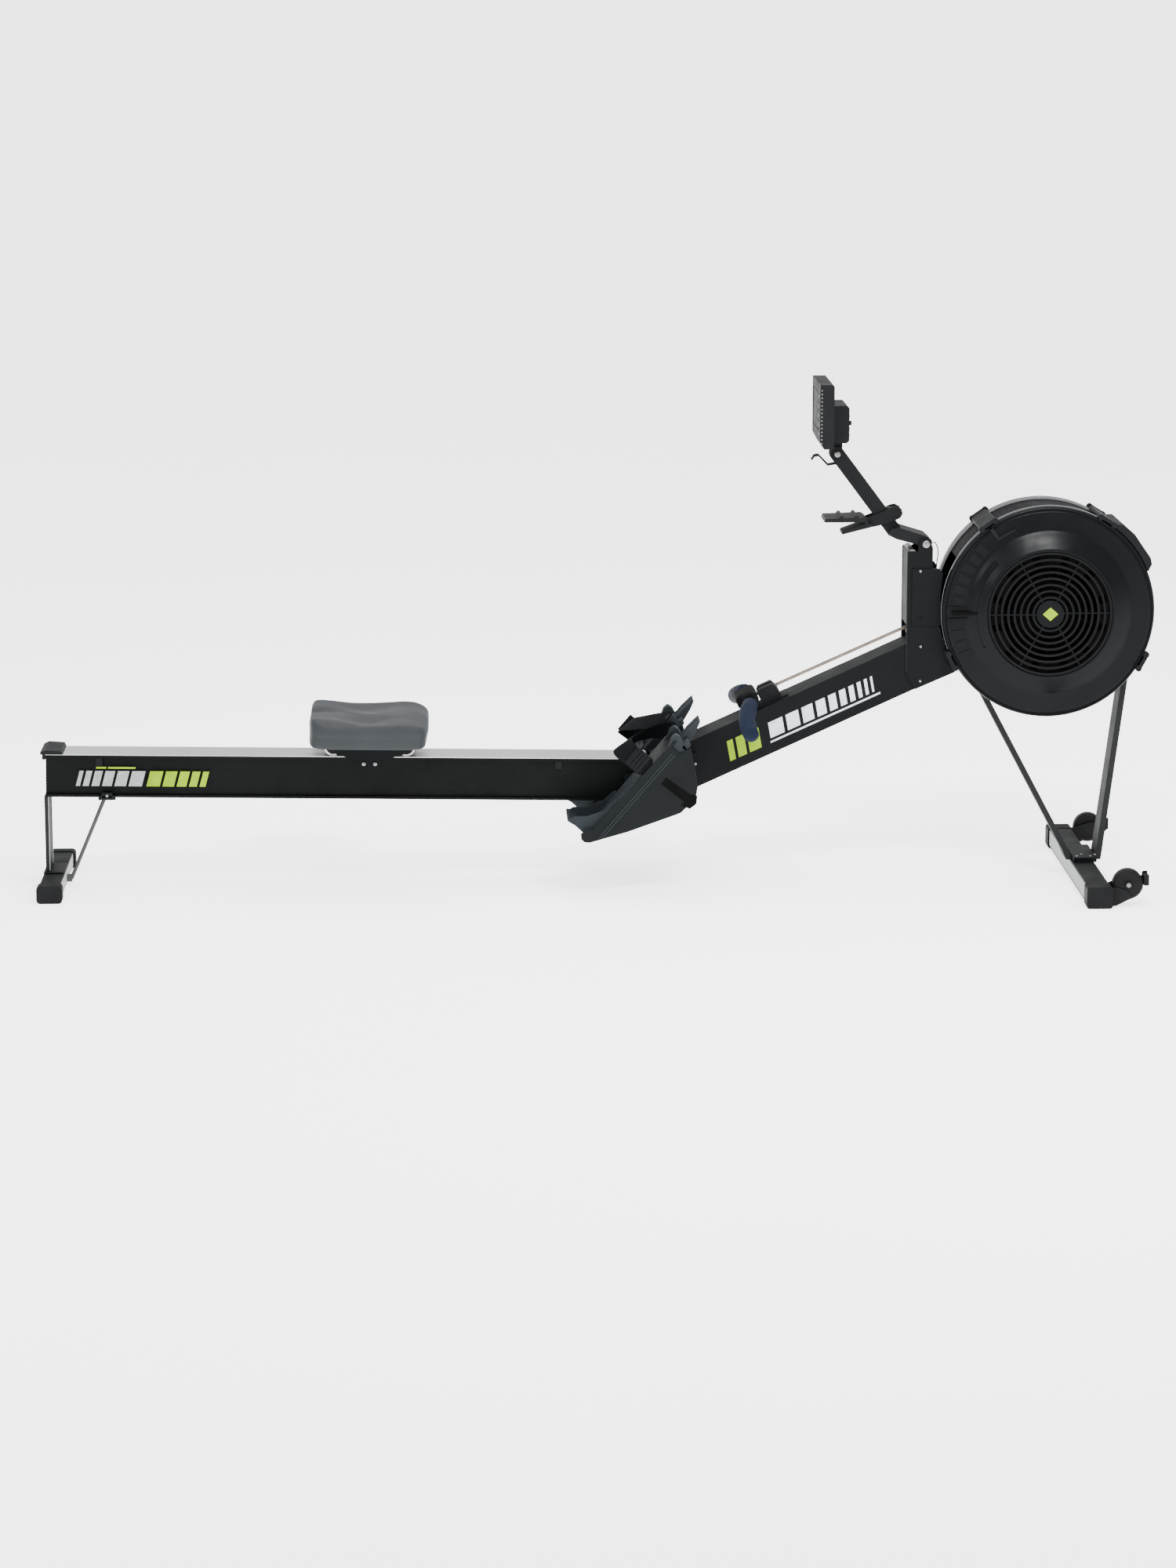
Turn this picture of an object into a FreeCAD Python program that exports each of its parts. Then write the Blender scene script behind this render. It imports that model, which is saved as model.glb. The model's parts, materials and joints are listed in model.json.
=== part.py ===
"""Indoor rowing machine with an air-braked flywheel: monorail with sliding seat, footrests, inclined beam,
flywheel housing on two legs, folding monitor arm and pull handle on a chain.

Frame: +X runs from the seat end to the flywheel, +Z is up, -Y is the user's right. Millimetres.
The origin lies on the floor, under the middle of the whole machine.
"""
import FreeCAD
import Part

import math
import os
import re

import Sketcher

Vector = FreeCAD.Vector
Rotation = FreeCAD.Rotation
Placement = FreeCAD.Placement

# Driving dimensions, in millimetres and degrees.
DIMENSIONS = {
    # monorail: an extrusion that falls gently towards the flywheel
    "rail_slope": 0.867,
    "rail_top": 285.6,
    "rail_rear": -1206,
    "rail_front": 112,
    "rail_depth": 95,
    "rail_half": 46,
    "rail_waist": 37,
    "rail_flange": 5.5,
    "rail_wall": 3.5,
    "track_thick": 1.5,
    # inclined beam
    "beam_slope": 24.4,
    "beam_x": 126,
    "beam_z": 285.6,
    "beam_start": -5,
    "beam_end": 684,
    "beam_depth": 100,
    "beam_half": 46,
    "beam_wall": 3,
    "plate_gap": 46.4,
    "plate_thick": 4,
    # footrests: the sole plane rises towards the toes
    "foot_slope": 49.4,
    "foot_x": -12,
    "foot_z": 145,
    "foot_inner": 51,
    "foot_outer": 180,
    "foot_wall": 4,
    # seat, placed along the rail
    "seat_at": -498,
    "seat_length": 262,
    "seat_half": 147,
    "seat_base": 34,
    "roller_r": 20,
    "roller_pitch": 160,
    "guide_r": 8,
    "guide_pitch": 25,
    "axle_r": 4,
    "pin_r": 3,
    "fit": 0.05,
    # flywheel and its housing
    "wheel_x": 987,
    "wheel_z": 611,
    "rim_r": 233,
    "screen_r": 228,
    "cone_outer": 178,
    "intake_r": 137,
    "cover_near": 82,
    "cover_far": 90,
    "cone_rise": 23,
    "shell": 3,
    "ring_pitch": 13.8,
    "ring_width": 5,
    "hub_r": 30,
    "shaft_r": 8,
    "bearing_r": 16,
    "fan_r": 172,
    "fan_blades": 24,
    "sprocket_r": 14.27,
    "sprocket_teeth": 14,
    "idler_x": 695.2,
    "idler_z": 558,
    "idler_r": 10,
    # chain and handle
    "chain_slope": 23.8,
    "chain_height": 6,
    "handle_x": 338,
    "handle_z": 412.6,
    "grip_r": 17,
    "grip_core": 8,
    # monitor and its arm
    "arm_x": 720,
    "arm_z": 758,
    "arm_top_x": 526.5,
    "arm_top_z": 952.6,
    "holder_x": 657,
    "holder_z": 823,
    "monitor_front": 481,
    "monitor_depth": 31,
    "monitor_half": 92,
    "monitor_low": 973,
    "monitor_high": 1113,
    "key_r": 5,
    "key_pitch": 20,
    # feet
    "front_foot_x": 1077,
    "front_foot_half": 305,
    "rear_foot_x": -1192,
    "rear_foot_half": 178,
    "caster_x": 1141,
    "caster_z": 48.5,
    "caster_r": 33,
}

WORD = re.compile(r"[a-z_]+[a-z]")
doc = FreeCAD.newDocument("rowing_machine")
sheet = doc.addObject("Spreadsheet::Sheet", "dims")
nodes = []


def fill_sheet():
    for row, (alias, number) in enumerate(DIMENSIONS.items(), start=1):
        sheet.set(f"A{row}", alias)
        sheet.set(f"B{row}", str(number))
        sheet.setAlias(f"B{row}", alias)
    doc.recompute()


def formula(text):
    """A formula in sheet words becomes a FreeCAD expression."""
    return WORD.sub(lambda word: "dims." + word.group() if word.group() in DIMENSIONS else word.group(), str(text))


def number(text):
    """The value of a formula, worked out in a spare cell of the sheet."""
    sheet.set("D1", "=" + formula(text).replace("dims.", ""))
    sheet.recomputeCells("D1")
    return float(sheet.get("D1"))


def bind(thing, **formulas):
    for name, text in formulas.items():
        thing.setExpression(name, formula(text))


def bind_base(thing, corner, path=".Placement.Base."):
    for letter, text in zip("xyz", corner):
        thing.setExpression(path + letter, formula(text))


def bind_frame(thing, base, slope):
    """Tilt a finished piece about Y and move it to its place."""
    thing.Placement = Placement(Vector(), Rotation(Vector(0, 1, 0), 0))
    thing.setExpression(".Placement.Rotation.Angle", formula(slope))
    bind_base(thing, base)


RAIL_FRAME = (("0", "0", "rail_top"), "rail_slope")
BEAM_FRAME = (("beam_x", "0", "beam_z"), "-beam_slope")
FOOT_FRAME = (("foot_x", "0", "foot_z"), "-foot_slope")
SEAT_FRAME = (("seat_at * cos(rail_slope)", "0", "rail_top - seat_at * sin(rail_slope)"), "rail_slope")
WHEEL_FRAME = (("wheel_x", "0", "wheel_z"), "0")
HANDLE_FRAME = (("handle_x", "0", "handle_z"), "-chain_slope")


def box(name, corner, size):
    """A block from its lowest corner and its three sizes."""
    block = doc.addObject("Part::Box", name)
    bind(block, Length=size[0], Width=size[1], Height=size[2])
    bind_base(block, corner)
    return block


TURNS = {"X": Rotation(Vector(0, 1, 0), 90), "Y": Rotation(Vector(1, 0, 0), -90), "Z": Rotation()}


def rod(name, axis, radius, start, length):
    """A round bar from the centre of its first end, along an axis."""
    bar = doc.addObject("Part::Cylinder", name)
    bar.Placement = Placement(Vector(), TURNS[axis])
    bind(bar, Radius=radius, Height=length)
    bind_base(bar, start)
    return bar


def draw_loop(sketch, points):
    """A closed outline, every corner bound to its two formulas."""
    first = sketch.GeometryCount
    spots = [Vector(number(across), number(up), 0) for across, up in points]
    for spot, following in zip(spots, spots[1:] + spots[:1]):
        sketch.addGeometry(Part.LineSegment(spot, following))
    count = len(points)
    for index in range(count):
        sketch.addConstraint(Sketcher.Constraint("Coincident", first + index, 2, first + (index + 1) % count, 1))
    for index, (pair, spot) in enumerate(zip(points, spots)):
        for kind, text, place in (("DistanceX", pair[0], spot.x), ("DistanceY", pair[1], spot.y)):
            rule = sketch.addConstraint(Sketcher.Constraint(kind, -1, 1, first + index, 1, place))
            if not str(text).lstrip("-").replace(".", "").isdigit():
                sketch.setExpression(f"Constraints[{rule}]", formula(text))


def outline(body, plane, loops, offset="0"):
    """A sketch of one or more loops on one of the body's own planes."""
    sketch = body.newObject("Sketcher::SketchObject", body.Name + "_sketch")
    support = next(item for item in body.Origin.OriginFeatures if item.Role == plane)
    sketch.AttachmentSupport = [(support, "")]
    sketch.MapMode = "FlatFace"
    sketch.setExpression(".AttachmentOffset.Base.z", formula(offset))
    for points in loops:
        draw_loop(sketch, points)
    return sketch


def pad(name, plane, loops, offset, length):
    """An outline extruded along its plane's normal: XZ gives -Y, YZ gives +X, XY gives +Z."""
    body = doc.addObject("PartDesign::Body", name)
    feature = body.newObject("PartDesign::Pad", name + "_pad")
    feature.Profile = outline(body, plane, loops, offset)
    bind(feature, Length=length)
    return body


def slab(name, points, low, width):
    """An XZ outline that fills Y from low to low + width."""
    return pad(name, "XZ_Plane", [points], f"-({low}) - ({width})", width)


def turned(name, points, angle="360"):
    """A (Y, radius) outline revolved about the Y axis."""
    body = doc.addObject("PartDesign::Body", name)
    sketch = outline(body, "YZ_Plane", [points])
    feature = body.newObject("PartDesign::Revolution", name + "_turn")
    feature.Profile = sketch
    feature.ReferenceAxis = (sketch, ["H_Axis"])
    bind(feature, Angle=angle)
    return body


def ring(name, outer, inner, low, width):
    """A plain ring about the Y axis."""
    high = f"({low}) + ({width})"
    return turned(name, [(low, inner), (high, inner), (high, outer), (low, outer)])


def fuse(name, parts):
    whole = doc.addObject("Part::MultiFuse", name)
    whole.Shapes = parts
    return whole


def group(name, parts):
    """Separate solids that share one node."""
    whole = doc.addObject("Part::Compound", name)
    whole.Links = parts
    return whole


def cut(name, base, tool):
    whole = doc.addObject("Part::Cut", name)
    whole.Base = base
    whole.Tool = tool
    return whole


def rounded(name, base, radius, chosen):
    """Round the edges of a finished piece that the test picks."""
    doc.recompute()
    edges = [index for index, edge in enumerate(base.Shape.Edges, start=1) if chosen(edge)]
    whole = doc.addObject("Part::Fillet", name)
    whole.Base = base
    whole.Edges = [(index, radius, radius) for index in edges]
    return whole


def along(direction):
    """A test for straight edges that run along an axis."""
    unit = {"X": Vector(1, 0, 0), "Y": Vector(0, 1, 0), "Z": Vector(0, 0, 1)}[direction]

    def test(edge):
        straight = isinstance(edge.Curve, Part.Line)
        return straight and abs(edge.tangentAt(edge.FirstParameter).dot(unit)) > 0.999

    return test


def node(label, piece, frame=None, shift=None):
    """Name a finished sub-part and put it in its place."""
    piece.Label = label
    if frame:
        bind_frame(piece, *frame)
    if shift:
        bind_base(piece, shift)
    nodes.append(piece)
    return piece


def both_sides(make):
    """The same piece at +Y and at -Y: make gets the name's ending and the sign."""
    return [make("left", 1), make("right", -1)]


def low_side(sign, inner, width):
    """The lowest Y of a band that lies width outwards of inner, on the side of the sign."""
    return f"{inner}" if sign > 0 else f"-({inner}) - ({width})"


def corners(*pairs):
    """Outline points given as plain numbers."""
    return [(str(across), str(up)) for across, up in pairs]


# ---------------------------------------------------------------- monorail


def monorail():
    base = "-rail_depth"
    top = "-track_thick"
    half = [
        ("rail_half", base),
        ("rail_half", "-rail_depth + rail_flange"),
        ("rail_waist", "-rail_depth + rail_flange"),
        ("rail_waist", "-track_thick - rail_flange"),
        ("rail_half", "-track_thick - rail_flange"),
        ("rail_half", top),
    ]
    mirror = [(f"-{across}", up) for across, up in reversed(half)]
    inner = "(rail_waist - rail_wall)"
    floor = "-rail_depth + rail_wall"
    roof = "-track_thick - rail_flange - rail_wall"
    hollow = [(inner, floor), (inner, roof), (f"-{inner}", roof), (f"-{inner}", floor)]
    beam = pad("monorail", "YZ_Plane", [half + mirror, hollow], "rail_rear", "rail_front - rail_rear")
    node("monorail", beam, RAIL_FRAME)
    size = ("rail_front - rail_rear", "2 * rail_half", "track_thick")
    strip = box("track_strip", ("rail_rear", "-rail_half", "-track_thick"), size)
    node("rail_track", group("track", [strip]), RAIL_FRAME)


def rail_stops():
    """Rubber blocks in the rail's side grooves, which end the seat's travel."""
    size = ("14", "8.6", "17")
    blocks = []
    for end, place in (("rear", "-1096"), ("front", "-90")):
        for side, sign in (("left", 1), ("right", -1)):
            low = low_side(sign, "rail_waist + 0.1", size[1])
            blocks.append(box(f"stop_{end}_{side}", (place, low, "-25"), size))
    node("rail_stops", group("stops", blocks), RAIL_FRAME)


def rail_end_cap():
    roof = slab("cap_roof", corners((-1217, 0.1), (-1168, 0.1), (-1172, 8), (-1206, 10), (-1217, 5)), "-50", "100")
    back = box("cap_back", ("rail_rear - 7", "-rail_half", "-12"), ("6.9", "2 * rail_half", "13"))
    node("rail_end_cap", fuse("cap", [roof, back]), RAIL_FRAME)


def rear_leg_and_foot():
    sheet_leg = slab("leg_sheet", corners((-1211, 40.1), (-1203.5, 40.1), (-1203.5, 208.5), (-1211, 208.5)), "-36", "72")
    flange_left = box("leg_flange_left", ("-1211", "36", "40.1"), ("8", "3", "168.4"))
    flange_right = box("leg_flange_right", ("-1211", "-39", "40.1"), ("8", "3", "168.4"))
    node("rear_leg", fuse("leg", [sheet_leg, flange_left, flange_right]))
    bar = box("foot_bar", ("rear_foot_x - 22", "-150", "4"), ("44", "300", "34"))
    raised = box("foot_plate", ("rear_foot_x - 23", "-52", "36"), ("44", "104", "4"))
    node("rear_foot", cut("foot_bare", fuse("foot_full", [bar, raised]),
                          box("foot_hollow", ("rear_foot_x - 18", "-151", "8"), ("36", "302", "26"))))

    def cap(side, sign):
        low = low_side(sign, "rear_foot_half - 27.8", "27.8")
        block = box(f"rear_cap_block_{side}", ("rear_foot_x - 28", low, "0"), ("56", "27.8", "40"))
        return rounded(f"rear_cap_{side}", block, 9, along("Y"))

    node("rear_foot_caps", group("rear_caps", both_sides(cap)))


def rear_brace():
    """A thin strut from a bracket under the rail to the foot's front face."""
    top = (-1079, 203.5)
    foot = (-1159, 14)
    slope = math.degrees(math.atan2(top[0] - foot[0], top[1] - foot[1]))
    length = math.hypot(top[0] - foot[0], top[1] - foot[1])
    strut = doc.addObject("Part::Cylinder", "strut")
    bind(strut, Radius="4.2", Height=f"{length}")
    strut.Placement = Placement(Vector(foot[0], 0, foot[1]), Rotation(Vector(0, 1, 0), slope))
    lug = box("strut_lug", ("rear_foot_x + 22.2", "-8", "8"), ("12", "16", "14"))
    saddle = box("brace_saddle", ("-1090", "-49.6", "202.7"), ("34", "99.2", "3.5"))
    ears = [box(f"brace_ear_{side}", ("-1084", low_side(sign, "46.6", "3"), "203"), ("22", "3", "14"))
            for side, sign in (("left", 1), ("right", -1))]
    heads = [rod(f"brace_bolt_{side}", "Y", "4.5", ("-1073", low_side(sign, "49", "3"), "210"), "3")
             for side, sign in (("left", 1), ("right", -1))]
    node("rear_brace", fuse("brace", [strut, lug, saddle] + ears + heads))


# ---------------------------------------------------------------- seat


def seat_pad():
    profile = [
        ("-seat_length / 2", "seat_base"),
        ("seat_length / 2", "seat_base"),
        ("seat_length / 2", "76"),
        ("seat_length / 2 - 12", "90"),
        ("60", "91"),
        ("0", "90"),
        ("-70", "95"),
        ("-seat_length / 2 + 18", "104"),
        ("-seat_length / 2", "92"),
    ]
    block = slab("pad_block", profile, "-seat_half", "2 * seat_half")
    soft = rounded("pad_round", block, 16, along("Z"))
    well = box("pad_well", ("-113", "-54", "seat_base - 1"), ("226", "108", "12.5"))
    node("seat_pad", cut("pad", soft, well), SEAT_FRAME)


def seat_carriage():
    """Sheet carriage: top plate, two cheeks with the roller axles, and outer hangers with the guide pins."""
    pieces = [box("carriage_top", ("-105", "-50", "42"), ("210", "100", "3.5"))]
    for side, sign in (("left", 1), ("right", -1)):
        pieces.append(box(f"cheek_{side}", ("-100", low_side(sign, "12", "3"), "6"), ("200", "3", "36.5")))
        hanger = corners((-46, 43), (46, 43), (46, 30), (19, -23), (-19, -23), (-46, 30))
        pieces.append(slab(f"hanger_{side}", hanger, low_side(sign, "47", "3"), "3"))
        for end in (1, -1):
            across = f"{end} * guide_pitch / 2"
            deep = "-track_thick - rail_flange - guide_r - 0.15"
            low = low_side(sign, "rail_waist + 0.6", "15")
            pieces.append(rod(f"guide_pin_{side}_{end + 1}", "Y", "pin_r", (across, low, deep), "15"))
    for end in (1, -1):
        start = (f"{end} * roller_pitch / 2", "-42", "roller_r + 0.15")
        pieces.append(rod(f"roller_axle_{end + 1}", "Y", "axle_r", start, "84"))
    node("seat_carriage", fuse("carriage", pieces), SEAT_FRAME)


def seat_wheel(name, radius, bore, low, width):
    """One roller with a slightly crowned tread, about its own Y axis."""
    high = f"({low}) + ({width})"
    crown = [
        (low, f"{bore} + fit"),
        (high, f"{bore} + fit"),
        (high, f"{radius} - 1"),
        (f"{high} - 1", radius),
        (f"{low} + 1", radius),
        (low, f"{radius} - 1"),
    ]
    return turned(name, crown)


def seat_rollers():
    for end, sign in (("front", 1), ("rear", -1)):
        pair = [seat_wheel(f"roller_{end}_{side}", "roller_r", "axle_r", low_side(y_sign, "22", "18"), "18")
                for side, y_sign in (("left", 1), ("right", -1))]
        label = f"seat_rollers_{end}"
        across = f"(seat_at + {sign} * roller_pitch / 2)"
        rise = "(roller_r + 0.15)"
        node(label, group(label, pair), in_rail(across, rise))
        pair = [seat_wheel(f"guide_{end}_{side}", "guide_r", "pin_r", low_side(y_sign, "rail_waist + 1", "7"), "7")
                for side, y_sign in (("left", 1), ("right", -1))]
        label = f"guide_rollers_{end}"
        across = f"(seat_at + {sign} * guide_pitch / 2)"
        rise = "(-track_thick - rail_flange - guide_r - 0.15)"
        node(label, group(label, pair), in_rail(across, rise))


def in_rail(across, rise):
    """The frame of a point given along the rail and above its track."""
    place_x = f"{across} * cos(rail_slope) + {rise} * sin(rail_slope)"
    place_z = f"rail_top - {across} * sin(rail_slope) + {rise} * cos(rail_slope)"
    return ((place_x, "0", place_z), "rail_slope")


# ---------------------------------------------------------------- beam and upright


def main_beam():
    half = "beam_half"
    inner = "(beam_half - beam_wall)"
    outer_loop = [(half, "0"), (half, "-beam_depth"), (f"-{half}", "-beam_depth"), (f"-{half}", "0")]
    low = "-beam_depth + beam_wall"
    inner_loop = [(inner, "-beam_wall"), (inner, low), (f"-{inner}", low), (f"-{inner}", "-beam_wall")]
    tube = pad("main_beam", "YZ_Plane", [outer_loop, inner_loop], "beam_start", "beam_end - beam_start")
    node("main_beam", tube, BEAM_FRAME)


def rail_socket():
    """Plates that hold the two footrests, the beam's foot and the rail's front end."""
    side = corners((62, 184.5), (152, 184.5), (222, 215), (222, 296), (190, 300), (120, 262), (62, 250))
    pieces = []
    for name, sign in (("left", 1), ("right", -1)):
        pieces.append(slab(f"socket_side_{name}", side, low_side(sign, "plate_gap", "plate_thick"), "plate_thick"))
        ear = box(f"lock_ear_{name}", ("85", low_side(sign, "40", "4"), "160"), ("20", "4", "25"))
        bore = rod(f"lock_bore_{name}", "Y", "6 + fit", ("95", low_side(sign, "39", "6"), "171"), "6")
        pieces.append(cut(f"lock_eye_{name}", ear, bore))
    pieces.append(box("socket_floor", ("62", "-plate_gap", "184.5"), ("90", "2 * plate_gap", "4")))
    pieces.append(box("socket_web", ("113", "-plate_gap", "187"), ("4", "2 * plate_gap", "90")))
    node("rail_socket", fuse("socket", pieces))


def frame_lock():
    shaft = rod("lock_shaft", "Y", "6", ("0", "-49", "0"), "98")
    arm = box("lock_arm", ("0", "-9", "-3"), ("58", "18", "6"))
    tip = rod("lock_tip", "Y", "6", ("58", "-16", "0"), "32")
    node("frame_lock", fuse("lock", [shaft, arm, tip]), shift=("95", "0", "171"))


def upright_bracket():
    """Folded channel on the beam's end that carries the monitor arm and holds the housing by its tail plates."""
    side = corners((680, 470), (700, 436), (788, 474), (750, 569), (752, 694), (747, 704), (735, 704), (735, 750),
                   (728, 768), (708, 768), (702, 742), (680, 742))
    pieces = []
    for name, sign in (("left", 1), ("right", -1)):
        pieces.append(slab(f"upright_side_{name}", side, low_side(sign, "plate_gap", "plate_thick"), "plate_thick"))
        tail = corners((690, 578), (758, 578), (752, 644), (757, 694), (750, 704), (690, 704))
        pieces.append(slab(f"upright_tail_{name}", tail, low_side(sign, "50.3", "3"), "3"))
    pieces.append(box("upright_web", ("680", "-plate_gap", "578"), ("4", "2 * plate_gap", "164")))
    pieces.append(rod("idler_pin", "Y", "axle_r", ("idler_x", "-plate_gap", "idler_z"), "2 * plate_gap"))
    pieces.append(box("arm_rest", ("684", "-plate_gap", "722"), ("6", "2 * plate_gap", "18")))
    hole = rod("pivot_hole", "Y", "6", ("arm_x", "-60", "arm_z"), "120")
    node("upright_bracket", cut("upright_drilled", fuse("upright", pieces), hole))


PULLEY_SPOT = (60, -50)
PIN_SPOT = (614.3, -65)
BOLT_PLACES = {
    "neck_top": (708, 699, 53.4),
    "neck_low": (709, 596, 53.4),
    "beam_top": (711, 531, 50.5),
    "beam_low": (711, 454, 50.5),
    "socket_bolt": (218, 272, 50.5),
}


def frame_bolts():
    """Bolt heads, the monitor arm's pivot bolt, and the pins inside the beam for the pulley and the cord."""
    heads = [pivot_bolt()]
    for name, (along_beam, above) in (("pulley", PULLEY_SPOT), ("anchor", PIN_SPOT)):
        across, up = in_frame(("beam_x", "beam_z"), number("beam_slope"), along_beam, above)
        start = (f"{across:.4f}", "beam_wall - beam_half", f"{up:.4f}")
        heads.append(rod(f"pin_{name}", "Y", "axle_r", start, "2 * (beam_half - beam_wall)"))
    for name, (across, up, outward) in BOLT_PLACES.items():
        for side, sign in (("left", 1), ("right", -1)):
            start = (f"{across}", low_side(sign, outward, "3.2"), f"{up}")
            heads.append(rod(f"{name}_{side}", "Y", "5.5", start, "3.2"))
    for index, (across, place) in enumerate(((1066, -50), (1078, -34), (1096, -50), (1108, -34))):
        heads.append(rod(f"foot_bolt_{index}", "Z", "4", (f"{across}", f"{place}", "56.1"), "3"))
    node("frame_bolts", group("bolts", heads))


def pivot_bolt():
    """Bolt through the upright on which the monitor arm tilts."""
    shaft = rod("pivot_shaft", "Y", "6", ("arm_x", "-54", "arm_z"), "108")
    ends = [rod(f"pivot_head_{side}", "Y", "8.5", ("arm_x", low_side(sign, "50.5", "5"), "arm_z"), "5")
            for side, sign in (("left", 1), ("right", -1))]
    return fuse("pivot_bolt", [shaft] + ends)


def handle_holder():
    """Moulded rest on the beam that keeps the handle by the footrests; the chain passes over its slot."""
    base = box("holder_base", ("218", "-30", "0.05"), ("108", "60", "4"))
    block = slab("holder_block", corners((266, 3), (312, 3), (312, 20), (304, 38), (272, 38), (266, 30)), "-26", "52")
    slot = box("holder_slot", ("260", "-8", "21"), ("60", "16", "20"))
    node("handle_holder", cut("holder", fuse("holder_full", [base, block]), slot), BEAM_FRAME)


# ---------------------------------------------------------------- footrests

SOLE_OUTLINE = corners((-39, 149), (-20, 126), (171, 188), (212, 221), (215, 251), (199, 332), (214, 390),
                       (160, 360), (-12, 157))


def footboard(side, sign):
    """Moulded wedge: outer and inner walls, sole plate and toe fins; open below and to the front."""
    pieces = []
    walls = (("outer", "foot_outer - foot_wall", SOLE_OUTLINE), ("inner", "foot_inner", SOLE_OUTLINE[1:6]
             + corners((196, 340), (165, 345), (-8, 147))))
    for name, inner, points in walls:
        pieces.append(slab(f"foot_{name}_{side}", points, low_side(sign, inner, "foot_wall"), "foot_wall"))
    width = "foot_outer - foot_inner"
    sole = box(f"sole_{side}", ("-18", low_side(sign, "foot_inner", width), "-5"), ("290", width, "5"))
    bind_frame(sole, ("foot_x + (-18) * cos(foot_slope) + 5 * sin(foot_slope)", low_side(sign, "foot_inner", width),
                      "foot_z + (-18) * sin(foot_slope) - 5 * cos(foot_slope)"), "-foot_slope")
    pieces.append(sole)
    front = corners((209, 222), (213, 222), (216, 251), (200, 332), (196, 332), (211.5, 251))
    pieces.append(slab(f"foot_front_{side}", front, low_side(sign, "foot_inner", width), width))
    under = corners((-16, 128), (171, 188), (171, 192), (-16, 132))
    pieces.append(slab(f"foot_under_{side}", under, low_side(sign, "foot_inner", width), width))
    fin = corners((163, 346), (176, 368), (222, 389), (216, 370), (192, 338))
    for index, inner in enumerate(("62", "110", "150")):
        pieces.append(slab(f"toe_fin_{side}_{index}", fin, low_side(sign, inner, "6"), "6"))
    node(f"footboard_{side}", fuse(f"footboard_body_{side}", pieces))


def flexfoot(side, sign):
    """Sliding heel piece: a plate on the sole with a curved heel cup at its lower end."""
    plate = box(f"heel_plate_{side}", ("-6", low_side(sign, "66", "98"), "0.5"), ("196", "98", "4"))
    wall = box(f"heel_wall_{side}", ("-10", low_side(sign, "66", "98"), "0.5"), ("5", "98", "60"))
    cheek = corners((-8, 0.5), (70, 0.5), (70, 12), (20, 36), (-8, 52))
    cheeks = [slab(f"heel_cheek_{side}_{name}", cheek, low_side(sign, inner, "3"), "3")
              for name, inner in (("in", "66"), ("out", "161"))]
    node(f"flexfoot_{side}", fuse(f"heel_{side}", [plate, wall] + cheeks), FOOT_FRAME)


def strap(side, sign):
    """Webbing loop over the instep, from one edge of the sole to the other."""
    path = ((59, 0.2), (59, 60), (80, 88), (150, 88), (174, 60), (174, 0.2), (171, 0.2), (171, 58.5), (149, 85),
            (81, 85), (62, 58.5), (62, 0.2))
    loop = [(f"{sign * across}", f"{up}") for across, up in path]
    node(f"strap_{side}", pad(f"strap_body_{side}", "YZ_Plane", [loop], "166", "44"), FOOT_FRAME)


def strap_buckles():
    buckles = [box(f"buckle_{side}", ("168", low_side(sign, "174.3", "5.5"), "16"), ("40", "5.5", "34"))
               for side, sign in (("left", 1), ("right", -1))]
    node("strap_buckles", group("buckles", buckles), FOOT_FRAME)


def footrests():
    for side, sign in (("left", 1), ("right", -1)):
        footboard(side, sign)
        flexfoot(side, sign)
        strap(side, sign)
    strap_buckles()


# ---------------------------------------------------------------- flywheel housing


def cover_right():
    """Near cover: rim flange, flat annulus and a cone that rises to the intake."""
    face = "-cover_near"
    nose = "-(cover_near + cone_rise)"
    inside = "(-cover_near + shell)"
    profile = [
        ("-60", "rim_r"),
        ("-cover_near + 4", "rim_r"),
        (face, "rim_r - 5"),
        (face, "cone_outer"),
        (nose, "intake_r + 4"),
        (nose, "intake_r"),
        (f"{nose} + shell + 2", "intake_r"),
        (inside, "cone_outer - 1"),
        (inside, "rim_r - 6"),
        ("-cover_near + 6", "rim_r - shell"),
        ("-60", "rim_r - shell"),
    ]
    dish = turned("cover_near_dish", profile)
    slot = turned("lever_slot", corners((-97, 120), (-86, 120), (-86, 174), (-97, 174)), "72")
    bind_frame(slot, ("0", "0", "0"), "90 - 208")
    node("cover_right", cut("cover_near_cut", dish, slot), WHEEL_FRAME)


def cover_left():
    """Far cover: rim flange, flat disc and a boss for the shaft."""
    profile = [
        ("68", "rim_r - shell"),
        ("cover_far - 6", "rim_r - shell"),
        ("cover_far - shell", "rim_r - 6"),
        ("cover_far - shell", "hub_r - 4"),
        ("cover_far - 10", "hub_r - 8"),
        ("cover_far - 10", "shaft_r"),
        ("cover_far + 8", "shaft_r"),
        ("cover_far + 8", "hub_r - 6"),
        ("cover_far", "hub_r"),
        ("cover_far", "rim_r - 5"),
        ("cover_far - 4", "rim_r"),
        ("68", "rim_r"),
    ]
    node("cover_left", turned("cover_far", profile), WHEEL_FRAME)


def housing_screen():
    """Air screen round the flywheel, open where the beam and the chain come in."""
    band = turned("screen_band", [("-58", "screen_r - 2"), ("66", "screen_r - 2"), ("66", "screen_r"),
                                  ("-58", "screen_r")], "284")
    bind_frame(band, ("0", "0", "0"), "90 - 150")
    node("housing_screen", group("screen", [band]), WHEEL_FRAME)


CLIP_ANGLES = {"top_left": 125, "top_right": 58, "low_right": -28}


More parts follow.
